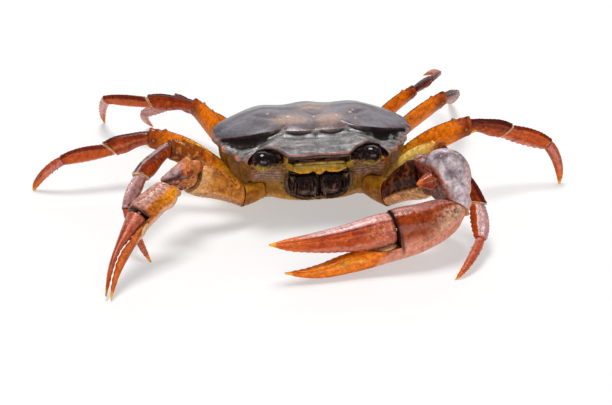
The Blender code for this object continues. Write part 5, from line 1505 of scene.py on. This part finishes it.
def thorax_skins():
    skin = thorax_shape()
    p = skin["points"]
    x, y, z = p.T
    side = abs(x)
    n = normals_of(skin)
    orbit = orbit_depth(p)
    hollow = smooth(0.05, 0.01, orbit)
    wall = smooth(-0.75, -0.35, n[:, 2]) * smooth(7.0, 9.5, z) * (1 - hollow)
    ahead = smooth(2.0, -6.0, y)
    rows = np.abs(np.sin(13.5 * orbit + 0.6 * cloud(p, 2.0, 3)))
    relief = 0.03 * cloud(p, 0.7, 2) + wall * ahead * 0.12 * grains(p, 0.62, 3)
    relief += wall * ahead * 0.26 * rows ** 3 * smooth(4.0, 0.5, orbit * 3)
    relief += 0.16 * bell(orbit, 0.09, 0.045) * (0.5 + 0.5 * grains(p, 0.7, 13)) * ahead * (z < 17.5)
    belly = smooth(-0.5, -0.9, n[:, 2]) * smooth(8.0, 6.0, z)
    seams = sum(bell(y - (at - 0.1 * side), 0.0, 0.28) for at in STERNUM_SEAMS) * smooth(3.5, 5.0, side)
    relief -= 0.35 * seams * belly * smooth(13.5, 11.0, side)
    relief += 0.05 * belly * cloud(p, 1.1, 4)
    skin = raised(skin, relief)
    patch, fine = cloud(p, 3.5, 41), cloud(p, 0.6, 42)
    rim = (z < 17.3) * ahead
    socket = smooth(9.6, 8.0, side) * smooth(6.5, 7.5, side) * smooth(13.0, 14.0, z) * ahead
    beside = bell(side, 8.9, 1.3) * smooth(7.5, 9.0, z) * smooth(15.0, 13.5, z) * ahead
    tufts = mix((0.3, 0.2, 0.03), (0.03, 0.014, 0.004), 0.5 + 1.2 * cloud(p * (1.0, 1.0, 0.5), 0.55, 88))
    cheek = bell(orbit, 0.75, 0.5) * ahead * smooth(16.8, 15.0, side) * smooth(8.5, 9.8, side) * (z < 14.5)
    limbs = smooth(8.4, 7.2, z) * smooth(13.5, 15.5, side) * (1 - belly * 0.4)
    depth = mouth_depth(p)
    ragged = 0.07 * fine + 0.06 * cloud(p, 1.3, 47)
    fringe = smooth(0.36, 0.12, depth + 2.0 * ragged) * ahead * (z > 5.9) * (z < MOUTH_TOP + 1.0)
    fuzz = mix((0.04, 0.016, 0.01), (0.4, 0.25, 0.2), 0.4 + 1.4 * cloud(p * (1.0, 1.0, 1.5), 0.5, 58))
    shade = 0.9 * smooth(0.3, 0.12, depth + 3.5 * ragged) * ahead * smooth(7.4, 9.0, z) * (z < 13.5)
    # mouth marks the inside of the mouth's hollow, behind the maxillipeds, where black is painted as shade.
    mouth = smooth(0.13, 0.05, depth + ragged) * (y < MOUTH_DEPTH_Y + 1.0)
    sternum = smooth(7.4, 6.3, z + 0.3 * fine) * smooth(14.0, 11.5, side) * ahead * (1 - belly)
    face = (side < FACE_HALF_WIDTH + 0.2) * (z > MOUTH_TOP) * (y < FACE_DEPTH_Y + 0.5)
    base = coats(mix((0.3, 0.13, 0.008), (0.15, 0.065, 0.005), 0.45 + 0.7 * patch), [
        ((0.32, 0.2, 0.012), 0.45 * smooth(0.1, 0.7, fine) * (1 - hollow)),
        ((0.06, 0.022, 0.004), 0.55 * wall * smooth(0.25, 0.6, cloud(p, 2.2, 57))),
        (PINK, 0.5 * ahead * wall * rows ** 3 * smooth(1.4, 0.2, orbit)),
        (PINK, 0.3 * grains(p, 0.62, 3) * wall * ahead),
        (MAROON, 0.35 * smooth(13.5, 15.5, z) * wall * smooth(0.0, 0.5, patch)),
        (mix(MOSS, CREAM, smooth(0.0, 0.6, fine)), 0.8 * socket),
        (tufts, 0.75 * beside * (1 - hollow)),
        ((0.03, 0.014, 0.02), 0.85 * bell(orbit, 0.2, 0.06) * rim * smooth(9.0, 11.0, side)),
        (YELLOW, 0.9 * bell(orbit, 0.07, 0.06) * rim),
        ((0.5, 0.09, 0.02), 0.9 * bell(orbit, 0.08, 0.1) * smooth(16.0, 17.3, side) * ahead),
        # painted shade: the orbit's hollow goes near-black, turning moss lower down
        (mix((0.008, 0.005, 0.005), MOSS, smooth(15.6, 14.7, z + 0.5 * patch) * 0.6), hollow),
        (mix((0.44, 0.31, 0.26), (0.17, 0.09, 0.06), 0.4 + 0.6 * fine), 0.85 * cheek),
        ((0.035, 0.016, 0.01), 0.9 * cheek * (1 - rows) ** 1.5),
        (mix(MOSS, TAN, 0.5 + fine), belly * 0.8),
        (AMBER, 0.55 * limbs * (0.7 + 0.6 * patch)),
        (fuzz, 0.9 * fringe),
        ((0.012, 0.006, 0.005), shade),
        (mix((0.55, 0.3, 0.06), (0.42, 0.25, 0.2), 0.5 + 0.8 * patch), 0.8 * sternum),
        ((0.02, 0.008, 0.005), 0.9 * face),
        (BLACK_AND_SHADE, mouth),
    ])
    gloss = (0.5 + 0.2 * fine) * (1 - mouth) * (1 - hollow) * (1 - 0.7 * face)
    return [painted(skin, base, np.clip(gloss, 0, 1))] + mouth_hair(p, n, depth, ahead)


def pleon_skins():
    path = np.array(PLEON_PATH)
    index = np.arange(len(path))
    t = np.linspace(0, 1, 130)
    along, z = (curve(list(zip(index, c)), t * (len(path) - 1)) for c in path.T)
    way = unit_rows(np.c_[np.zeros(len(t)), np.gradient(along), np.gradient(z)])
    up = np.c_[np.zeros(len(t)), -way[:, 2], way[:, 1]]
    x, y = superellipse(80, 3.0)
    wide = curve(PLEON_HALF_WIDTH, t)
    deep = y * PLEON_HALF_DEPTH * smooth(-0.03, 0.06, t)[:, None]
    rings = np.stack([x * wide[:, None], along[:, None] + deep * up[:, 1:2],
                      z[:, None] + deep * up[:, 2:]], -1)
    rings[:, :, 1] -= 0.025 * rings[:, :, 0] ** 2 * smooth(0.32, 0.15, t)[:, None]
    skin = loft(rings)
    t, p = skin["t"], skin["points"]
    joints = sum(bell(t, at, 0.009) for at in PLEON_SEAMS)
    relief = -0.2 * joints + 0.04 * cloud(p, 0.8, 2)
    skin = raised(skin, relief * smooth(0.0, 0.05, t))
    base = coats(mix(MOSS, UMBER, 0.5 + 0.6 * cloud(p, 2.5, 3)), [
        (TAN, 0.4),
        (mix(PLUM, UMBER, 0.5 + 0.6 * cloud(p, 1.4, 13)), 0.8 * smooth(0.32, 0.12, t)),
        (MAROON, 0.8 * joints),
    ])
    return [painted(skin, base, 0.4)]


# Face


def eye_skins(side):
    eye, root = on_side(EYE_MIDDLE, side) + EYE_SHIFT, on_side(STALK_ROOT, side) + EYE_SHIFT
    way = unit(eye - root)
    up = upright(way)
    axes = (way, up, np.cross(way, up))
    ball = ellipsoid(eye, axes, (EYE_BALL * 1.03, EYE_BALL, EYE_BALL), 96, 72, 2.0)
    neck = eye - way * EYE_RADIUS * NECK_SHARE
    ball = behind(ball, neck - way * GAP, -way)
    p = ball["points"]
    along = (p - eye) @ way / EYE_BALL
    high = (p - eye) @ up / EYE_BALL
    ball = raised(ball, 0.05 * cloud(p, 1.1, 4) - 0.05 * bell(along, -0.25 + 0.3 * high, 0.08))

    def eye_tint(points, level):
        fine, spots = cloud(points, 0.4, 5), cloud(points, 0.9, 15)
        tint = coats(mix((0.008, 0.003, 0.004), (0.06, 0.028, 0.02), smooth(0.1, 0.5, spots)), [
            ((0.2, 0.1, 0.08), 0.6 * smooth(0.35, 0.6, fine + 0.3 * spots)),
            ((0.4, 0.27, 0.03), 0.85 * smooth(0.0, -0.4, level + 0.4 * spots)),
        ])
        return mix(tint, (0.01, 0.005, 0.004), 0.8 * smooth(0.25, 0.5, cloud(points, 0.5, 16)))

    base = eye_tint(p, high)
    reach = np.linalg.norm(neck - root) - GAP / 2
    radii = [(0.0, STALK_RADII[0] * 1.05)] + STALK_SWELL
    end = root + way * reach
    skin = limb(root, end, ((root, way), (end, way)), up, radii, radii, 2.0, 0.0, 64, 40, None)
    t, q = skin["t"], skin["points"]
    relief = (0.03 * cloud(q, 0.6, 6) + 0.02 * grains(q, 0.5, 7)) * smooth(0, 0.1, t) * smooth(1, 0.9, t)
    skin = raised(skin, relief)
    stalk = eye_tint(q, (q - eye) @ up / EYE_BALL)
    return [painted(ball, base, 1.0)], [painted(skin, stalk, 0.95)]


def plate(middle, across, tall, deep, lean=0.0, around=72, along=30, power=3.0):
    """A domed plate that faces forwards and is turned by lean degrees in its own plane."""
    a = math.radians(lean)
    axes = (np.array([0.0, -1.0, 0.0]), np.array([-math.sin(a), 0.0, math.cos(a)]),
            np.array([math.cos(a), 0.0, math.sin(a)]))
    return ellipsoid(middle, axes, (deep, tall, across), around, along, power)


def palp_skins(side, middle_x, front, joint, high):
    """The three segments of a maxilliped's palp."""
    skins = []
    spots = [(abs(middle_x) - 2.6, high - 0.5), (abs(middle_x) - 3.35, high - 1.5),
             (abs(middle_x) - 3.5, joint - 0.6), (abs(middle_x) - 3.2, joint - 1.9)]
    for k in range(3):
        a, b = (np.array([side * spots[j][0], front - 0.75 + 0.12 * j, spots[j][1]]) for j in (k, k + 1))
        way = unit(b - a)
        radius = 0.48 - 0.08 * k
        skin = ellipsoid((a + b) / 2, (way, *frame_of(way)),
                         (np.linalg.norm(b - a) * 0.58, radius, radius), 24, 14, 2.0)
        skin = roughened(skin, 0.04, 0.5, 20 + k)
        base = mix(PEAT, (0.07, 0.035, 0.025), 0.3 + 0.5 * cloud(skin["points"], 0.6, 23))
        skins.append(painted(skin, base, 0.4))
    return skins


def beard_skins(side, front, low, high):
    """Bristles between the maxillipeds and strands in front of them."""
    skins = []
    for k in range(42):
        t = k / 41
        h = hashed(np.array([float(k), 3.0, 5.0]), 3 + side)
        off = 0.3 + (0.25 + 1.3 * smooth(0.7, 0.3, t)) * h
        root = np.array([side * off, front - 0.55 - 0.3 * t, low + 0.2 + (high - low - 0.5) * t])
        tip = root + np.array([-side * 0.16, -0.32 - 0.3 * h, -0.55 - 0.3 * h])
        foot = smooth(0.6, 0.3, t)
        skins.append(bristle(root, tip, 0.05 + 0.07 * foot, 0.012, 3, (0.05, 0.02, 0.008), (0.5, 0.3, 0.27),
                             foot * h, 0.2))
    for k in range(90):
        h, a, b = (hashed(np.array([float(k), 7.0, float(j)]), 9 + side) for j in (1, 2, 3))
        root = np.array([side * (0.7 + 6.4 * a), front - 0.8 + 0.35 * b, low + 1.2 + (high - low - 1.3) * b])
        tip = root + np.array([side * 0.5 * (h - 0.5), -0.45 - 0.3 * h, -1.0 - 0.9 * h])
        skins.append(bristle(root, tip, 0.07, 0.012, 4, PEAT, (0.3, 0.16, 0.11), 0.6 * h * h, 0.2))
    return skins


def maxilliped_skins(side):
    front = MOUTH_DEPTH_Y - 1.55
    low, high = MOUTH_FOOT + GAP, MOUTH_TOP - GAP
    middle_x = side * (MOUTH_HALF_WIDTH / 2 + 0.05)
    skins = []
    joint = low + (high - low) * 0.6

    def lean_back(skin):
        p = skin["points"]
        skin["points"] = p - np.c_[np.zeros(len(p)), 0.54 * (p[:, 2] - low) / (high - low), np.zeros(len(p))]
        skin["points"][:, 0] *= mouth_taper(p[:, 2])
        return skin

    ischium = plate((middle_x - side * 0.75, front + 0.1, (low + joint) / 2 - 0.02),
                    2.75, (joint - low) / 2 + 0.08, 1.15, 3 * side)
    merus = plate((middle_x - side * 0.55, front, (joint + high) / 2 + 0.04),
                  2.95, (high - joint) / 2 + 0.06, 1.05, -5 * side)
    exopod = plate((middle_x + side * 2.95, front + 0.25, (low + high) / 2 - 0.1),
                   0.9, (high - low) / 2, 0.85, 6 * side)
    for k, skin in enumerate((ischium, merus, exopod)):
        p = skin["points"]
        facing = smooth(front + 0.4, front - 0.5, p[:, 1])
        groove = bell(p[:, 0] * side, abs(middle_x) - 1.5 - 0.1 * (p[:, 2] - low), 0.22) if k == 0 else 0
        hollow = (bell(p[:, 0] * side, abs(middle_x) - 0.5, 0.9) * bell(p[:, 2], (joint + high) / 2, 0.6)
                  if k == 1 else 0)
        strands = cloud(p * (1.0, 1.0, 0.14), 0.4, 61)
        relief = facing * (0.06 * cloud(p, 0.7, 3) + 0.12 * strands - 0.12 * groove - 0.1 * hollow)
        skin = lean_back(raised(skin, relief))
        p = skin["points"]
        fine, patch = cloud(p, 0.55, 11), cloud(p, 1.8, 12)
        hairy = (0.7 * smooth(0.2, 0.6, strands + 0.5 * patch + 0.2 * fine)
                 * smooth(high - 0.8, high - 3.0, p[:, 2] + patch))
        turned = smooth(0.93, 0.7, -normals_of(skin)[:, 1])
        foot = smooth(low + 2.0, low + 0.6, p[:, 2] + 0.7 * fine + 0.5 * patch)
        fuzz = mix((0.34, 0.22, 0.2), (0.06, 0.025, 0.02), 0.5 + cloud(p * (0.6, 1.0, 1.6), 0.8, 62))
        # The plates' own near-black mottle comes first. The black layers after it, all but the groove's, are
        # painted shade towards the mouth's sides, where the plates lie back, under the epistome and where
        # they turn away from the front.
        base = coats(mix((0.03, 0.01, 0.005), BLACK_AND_SHADE, 0.5 + 0.8 * patch), [
            ((0.22, 0.1, 0.07), hairy),
            (BLACK_AND_SHADE, 0.85 * smooth(4.4, 6.2, abs(p[:, 0]) + 0.9 * patch)),
            (NIGHT, 0.75 * groove),
            (BLACK_AND_SHADE, 0.9 * smooth(front - 0.3, front + 0.4, p[:, 1])),
            (BLACK_AND_SHADE, 0.8 * smooth(high - 1.4, high - 0.4, p[:, 2] + 0.5 * fine)),
            (BLACK_AND_SHADE, 0.92 * turned * smooth(low + 0.4, low + 1.4, p[:, 2])),
            (fuzz, 0.85 * foot),
        ])
        skins.append(painted(skin, base, 0.3 * smooth(0.0, 0.5, strands)))
    return skins + palp_skins(side, middle_x, front, joint, high) + beard_skins(side, front, low, high)


def frame_of(way):
    """Two directions square to way and to each other."""
    across = unit(np.cross(way, (0.2, 0.9, 0.35)))
    return across, np.cross(way, across)


def epistome_skins():
    low, high = EPISTOME_Z
    around = 220
    x, y = superellipse(around, 3.0)
    rings = []
    for depth, wide in EPISTOME_RINGS:
        across = x * EPISTOME_HALF_WIDTH * wide
        off = abs(across)
        dip = 0.65 * np.maximum(0.0, 1 - off / 1.1) - 0.4 * bell(off, 1.55, 0.5)
        dip += 0.15 * smooth(2.1, 2.6, off) * smooth(6.2, 5.0, off)
        dip = np.where(y < 0, dip, 0.0) * smooth(0.5, 0.9, wide)
        level = (low + high) / 2 + y * (high - low) / 2 * wide - dip
        rings.append(np.c_[across, np.full(around, depth), level])
    skin = loft(np.array(rings))
    p = skin["points"]
    facing = smooth(-15.7, -16.2, p[:, 1])
    shelf = bell(p[:, 2], high - 0.75, 0.25)
    tooth = sum(bell(p[:, 0], at, 0.9) for at in (-4.53, 0.0, 4.53)) * smooth(high - 0.5, low, p[:, 2])
    relief = 0.05 * cloud(p, 0.7, 3) + 0.04 * grains(p, 0.5, 6) - 0.25 * shelf + 0.12 * tooth
    skin = raised(skin, facing * relief)
    p = skin["points"]
    fine, patch = cloud(p, 0.6, 4), cloud(p, 1.8, 5)
    base = coats(mix((0.36, 0.22, 0.014), (0.6, 0.42, 0.1), 0.4 + 0.8 * patch), [
        (OLIVE, smooth(0.0, 0.5, fine) * 0.65),
        (GOLD, 0.6 * smooth(low + 1.0, low + 0.2, p[:, 2] + 0.3 * patch)),
        ((0.1, 0.04, 0.006), 0.8 * smooth(0.3, 0.6, cloud(p * (1.0, 1.0, 0.5), 0.9, 66))),
        (UMBER, 0.6 * smooth(high - 0.5, high, p[:, 2] + 0.2 * fine)),
        (NIGHT, 0.6 * shelf),
        (NIGHT, 0.7 * smooth(-16.0, -15.3, p[:, 1])),
    ])
    return [painted(skin, base, 0.75)]


def tube(path, radii, around=24, power=2.0):
    """A round skin along a path, closed at its ends."""
    path = np.array(path, float)
    way = unit_rows(np.gradient(path, axis=0))
    across = unit_rows(np.cross(way, (0.15, 0.35, 0.92)))
    other = np.cross(way, across)
    x, y = superellipse(around, power)
    radii = np.asarray(radii)[:, None, None]
    rings = path[:, None] + radii * (x[None, :, None] * across[:, None] + y[None, :, None] * other[:, None])
    return loft(rings)


def antennule_skins(side):
    inner, outer = ANTENNULE_X
    t = np.linspace(0, 1, 60)
    arch = 0.1 * np.sin(math.pi * t)
    path = np.stack([side * (inner + (outer - inner) * t), -16.0 + 0.5 * t, ANTENNULE_Z + arch], -1)
    radii = 0.3 + 0.2 * np.sin(math.pi * (0.15 + 0.7 * t))
    radii = radii * (1 - 0.12 * np.abs(np.sin(t * math.pi * 3)) ** 8)
    skin = roughened(tube(path, radii, 32), 0.03, 0.5, 3)
    p = skin["points"]
    base = mix((0.03, 0.008, 0.006), (0.12, 0.03, 0.016), 0.3 + 0.7 * cloud(p, 0.7, 4))
    made = [painted(skin, base, 0.6)]
    t = np.linspace(0, 1, 40)
    fold = np.stack([side * (outer - 0.4 - (outer - inner - 0.8) * t), -16.05 + 0.4 * (1 - t),
                     ANTENNULE_Z - 0.42 + 0.1 * np.sin(math.pi * t)], -1)
    lash = tube(fold, 0.17 * (1 - 0.55 * t) * (1 - 0.2 * np.abs(np.sin(t * math.pi * 9)) ** 4), 20)
    made.append(painted(lash, mix(UMBER, MOSS, 0.5 * lash["t"]), 0.5))
    return made


def antenna_skins(side):
    base, way = on_side(ANTENNA_ROOT, side), unit(on_side(ANTENNA_WAY, side))
    t = np.linspace(0, 1, 120)
    path = base + way * ANTENNA_LENGTH * t[:, None] + upright(way) * (0.2 * 4 * t * (1 - t))[:, None]
    radii = curve(ANTENNA_RADIUS, t)
    rings = np.where(t > 0.45, 1 - 0.16 * np.abs(np.sin((t - 0.45) * 42)) ** 4,
                     1 - 0.12 * bell(t, 0.17, 0.02))
    skin = tube(path, radii * rings, 28)
    p = skin["points"]
    skin = raised(skin, 0.03 * cloud(p, 0.5, 3) * smooth(0.5, 0.3, skin["t"]))
    base = mix(MOSS, UMBER, smooth(0.2, 0.6, skin["t"] + 0.3 * cloud(p, 0.8, 4)))
    base = mix(base, MAROON, 0.7 * smooth(0.3, 0.7, cloud(p, 0.6, 7)))
    return [painted(skin, base, 0.4)]


# Finish


def put(node, values):
    """Sets sockets of a node by name."""
    for name, value in values.items():
        node.inputs[name].default_value = value


def finish(slot, smoothest, roughest, pit, pit_size, coat, coat_blur, glint, flesh):
    """A shell material: tint and gloss come from the mesh, mottling, pits and wear from noise."""
    look = bpy.data.materials.new(slot)
    look.use_nodes = True
    nodes, links = look.node_tree.nodes, look.node_tree.links
    shader = nodes["Principled BSDF"]
    place = nodes.new("ShaderNodeTexCoord")
    tint = nodes.new("ShaderNodeAttribute")
    tint.attribute_name = "tint"
    gloss = nodes.new("ShaderNodeAttribute")
    gloss.attribute_name = "gloss"

    def noisy(size, detail=5.0, rough=0.6):
        node = nodes.new("ShaderNodeTexNoise")
        put(node, {"Scale": 1 / (size * MM), "Detail": detail, "Roughness": rough})
        links.new(place.outputs["Object"], node.inputs["Vector"])
        return node

    def sums(operation, a, b):
        node = nodes.new("ShaderNodeMath")
        node.operation = operation
        for socket, value in zip(node.inputs, (a, b)):
            if isinstance(value, (int, float)):
                socket.default_value = value
            else:
                links.new(value, socket)
        return node.outputs[0]

    def spread(value, low, high, to_low, to_high):
        node = nodes.new("ShaderNodeMapRange")
        links.new(value, node.inputs["Value"])
        put(node, {"From Min": low, "From Max": high, "To Min": to_low, "To Max": to_high})
        return node.outputs["Result"]

    mottle, speck = noisy(1.1), noisy(0.28, 3.0)
    shade = sums("MULTIPLY", spread(mottle.outputs["Fac"], 0.3, 0.7, 0.66, 1.34),
                 spread(speck.outputs["Fac"], 0.35, 0.65, 0.78, 1.2))
    toned = nodes.new("ShaderNodeVectorMath")
    toned.operation = "SCALE"
    links.new(tint.outputs["Color"], toned.inputs[0])
    links.new(shade, toned.inputs["Scale"])
    links.new(toned.outputs["Vector"], shader.inputs["Base Color"])

    dull = sums("MULTIPLY", sums("SUBTRACT", 1.0, gloss.outputs["Fac"]), roughest - smoothest)
    worn = spread(noisy(0.7).outputs["Fac"], 0.3, 0.7, -0.05, 0.07)
    links.new(sums("ADD", sums("ADD", dull, smoothest), worn), shader.inputs["Roughness"])

    cells = nodes.new("ShaderNodeTexVoronoi")
    put(cells, {"Scale": 1 / (pit_size * MM)})
    links.new(place.outputs["Object"], cells.inputs["Vector"])
    dimple = spread(cells.outputs["Distance"], 0.0, 0.32, -1.0, 0.0)
    height = sums("ADD", sums("MULTIPLY", dimple, pit),
                  sums("MULTIPLY", noisy(0.35, 4.0).outputs["Fac"], 0.6))
    bump = nodes.new("ShaderNodeBump")
    put(bump, {"Strength": 0.55, "Distance": BUMP_DEPTH * MM})
    links.new(height, bump.inputs["Height"])
    links.new(bump.outputs["Normal"], shader.inputs["Normal"])

    wet = spread(gloss.outputs["Fac"], 0.0, 0.3, 0.0, 1.0)
    links.new(sums("MULTIPLY", wet, coat), shader.inputs["Coat Weight"])
    put(shader, {"Specular IOR Level": glint, "Coat Roughness": coat_blur, "Subsurface Weight": flesh,
                 "Subsurface Radius": FLESH_RADIUS, "Subsurface Scale": FLESH_DEPTH * MM})
    return look


def floor_finish():
    """A white sheet that is lit from below a little, so that shadows stay pale."""
    look = bpy.data.materials.new("ground")
    look.use_nodes = True
    put(look.node_tree.nodes["Principled BSDF"], {
        "Base Color": FLOOR_GREY, "Roughness": 0.9, "Specular IOR Level": 0.1, "Emission Color": WHITE,
        "Emission Strength": FLOOR_GLOW})
    return look


# Smoothest, roughest, pit depth, pit size, coat, its blur, specular level, flesh
LOOKS = {
    "carapace_shell": (0.3, 0.5, 0.25, 0.9, 0.95, 0.33, 0.16, 0.0),
    "belly_shell": (0.25, 0.5, 0.5, 0.8, 0.15, 0.1, 0.15, 0.0),
    "merus_shell": (0.16, 0.34, 0.6, 0.7, 0.1, 0.08, 0.2, 0.04),
    "leg_shell": (0.16, 0.34, 0.6, 0.65, 0.12, 0.08, 0.22, 0.02),
    "claw_shell": (0.16, 0.34, 0.7, 0.7, 0.12, 0.08, 0.22, 0.03),
    "eye_gloss": (0.05, 0.15, 0.1, 0.2, 0.25, 0.03, 0.2, 0.0),
    "face_shell": (0.12, 0.5, 0.5, 0.6, 0.3, 0.08, 0.1, 0.0),
}

AIM = np.array([0.73, -6.44, 0.0])
VIEW_TURN, VIEW_HEIGHT, VIEW_DISTANCE = 8.0, 27.0, 430.0
LENS, SENSOR = 100.0, 36.0
FLOOR_HALF = 1.5
SKY_STRENGTH = 0.28
LIGHT_AIM = (0.0, 0.0, 0.01)
# Place, size, power and colour of each light, in metres and watts
LIGHTS = {
    "key": ((-0.05, 0.1, 0.8), (0.3, 0.3), 5.6, (1.0, 0.99, 0.98)),
    "sheen": ((0.25, 0.9, 0.55), (1.2, 0.5), 3.6, (0.97, 0.98, 1.0)),
    "front": ((0.1, -1.1, 0.35), (1.2, 0.5), 7.5, (1.0, 0.98, 0.95)),
}


def put_camera():
    turn, height = math.radians(VIEW_TURN), math.radians(VIEW_HEIGHT)
    back = np.array([-math.sin(turn) * math.cos(height), -math.cos(turn) * math.cos(height),
                     math.sin(height)])
    place = (AIM + back * VIEW_DISTANCE) * MM
    lens = bpy.data.cameras.new("view")
    lens.lens = LENS
    lens.sensor_width = SENSOR
    lens.clip_start = 0.01
    thing = bpy.data.objects.new("view", lens)
    thing.location = place
    thing.rotation_euler = Vector(back).to_track_quat("Z", "Y").to_euler()
    bpy.context.scene.collection.objects.link(thing)
    bpy.context.scene.camera = thing


def put_light(name, place, size, power, colour):
    lamp = bpy.data.lights.new(name, "AREA")
    lamp.shape = "RECTANGLE"
    lamp.size, lamp.size_y = size
    lamp.energy = power
    lamp.color = colour
    thing = bpy.data.objects.new(name, lamp)
    thing.location = place
    thing.rotation_euler = (Vector(place) - Vector(LIGHT_AIM)).to_track_quat("Z", "Y").to_euler()
    bpy.context.scene.collection.objects.link(thing)


def put_studio():
    mesh = bpy.data.meshes.new("ground")
    corners = [(-FLOOR_HALF, -FLOOR_HALF, 0), (FLOOR_HALF, -FLOOR_HALF, 0), (FLOOR_HALF, FLOOR_HALF, 0),
               (-FLOOR_HALF, FLOOR_HALF, 0)]
    mesh.from_pydata(corners, [], [(0, 1, 2, 3)])
    ground = bpy.data.objects.new("ground", mesh)
    mesh.materials.append(floor_finish())
    bpy.context.scene.collection.objects.link(ground)
    world = bpy.data.worlds.new("studio")
    world.use_nodes = True
    put(world.node_tree.nodes["Background"], {"Color": WHITE, "Strength": SKY_STRENGTH})
    bpy.context.scene.world = world
    for name, numbers in LIGHTS.items():
        put_light(name, *numbers)
    bpy.context.scene.view_settings.view_transform = "Standard"
    bpy.context.scene.view_settings.gamma = 0.88


def build():
    looks = {slot: finish(slot, *numbers) for slot, numbers in LOOKS.items()}

    def piece(node, skins, slot):
        show(f"{node}_skin", skins, looks[slot], [node])

    piece("carapace", carapace_skins(), "carapace_shell")
    piece("thorax", thorax_skins(), "belly_shell")
    piece("pleon", pleon_skins(), "belly_shell")
    for name, side in (("left", 1), ("right", -1)):
        ball, stalk = eye_skins(side)
        piece(f"eye_{name}", ball, "eye_gloss")
        piece(f"eyestalk_{name}", stalk, "face_shell")
        piece(f"maxilliped_{name}", maxilliped_skins(side), "face_shell")
        piece(f"antennule_{name}", antennule_skins(side), "face_shell")
        piece(f"antenna_{name}", antenna_skins(side), "face_shell")
    piece("epistome", epistome_skins(), "face_shell")
    for key in LEG_POSES:
        for kind, skins in leg_skins(key).items():
            piece(f"leg_{key}_{kind}", skins, "merus_shell" if kind == "merus" else "leg_shell")
    for name, claw in CLAWS.items():
        for kind, skins in cheliped_skins(name, claw).items():
            slot = "merus_shell" if kind in ("ischium", "merus") else "claw_shell"
            piece(f"cheliped_{name}_{kind}", skins, slot)


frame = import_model()
put_camera()
put_studio()
build()
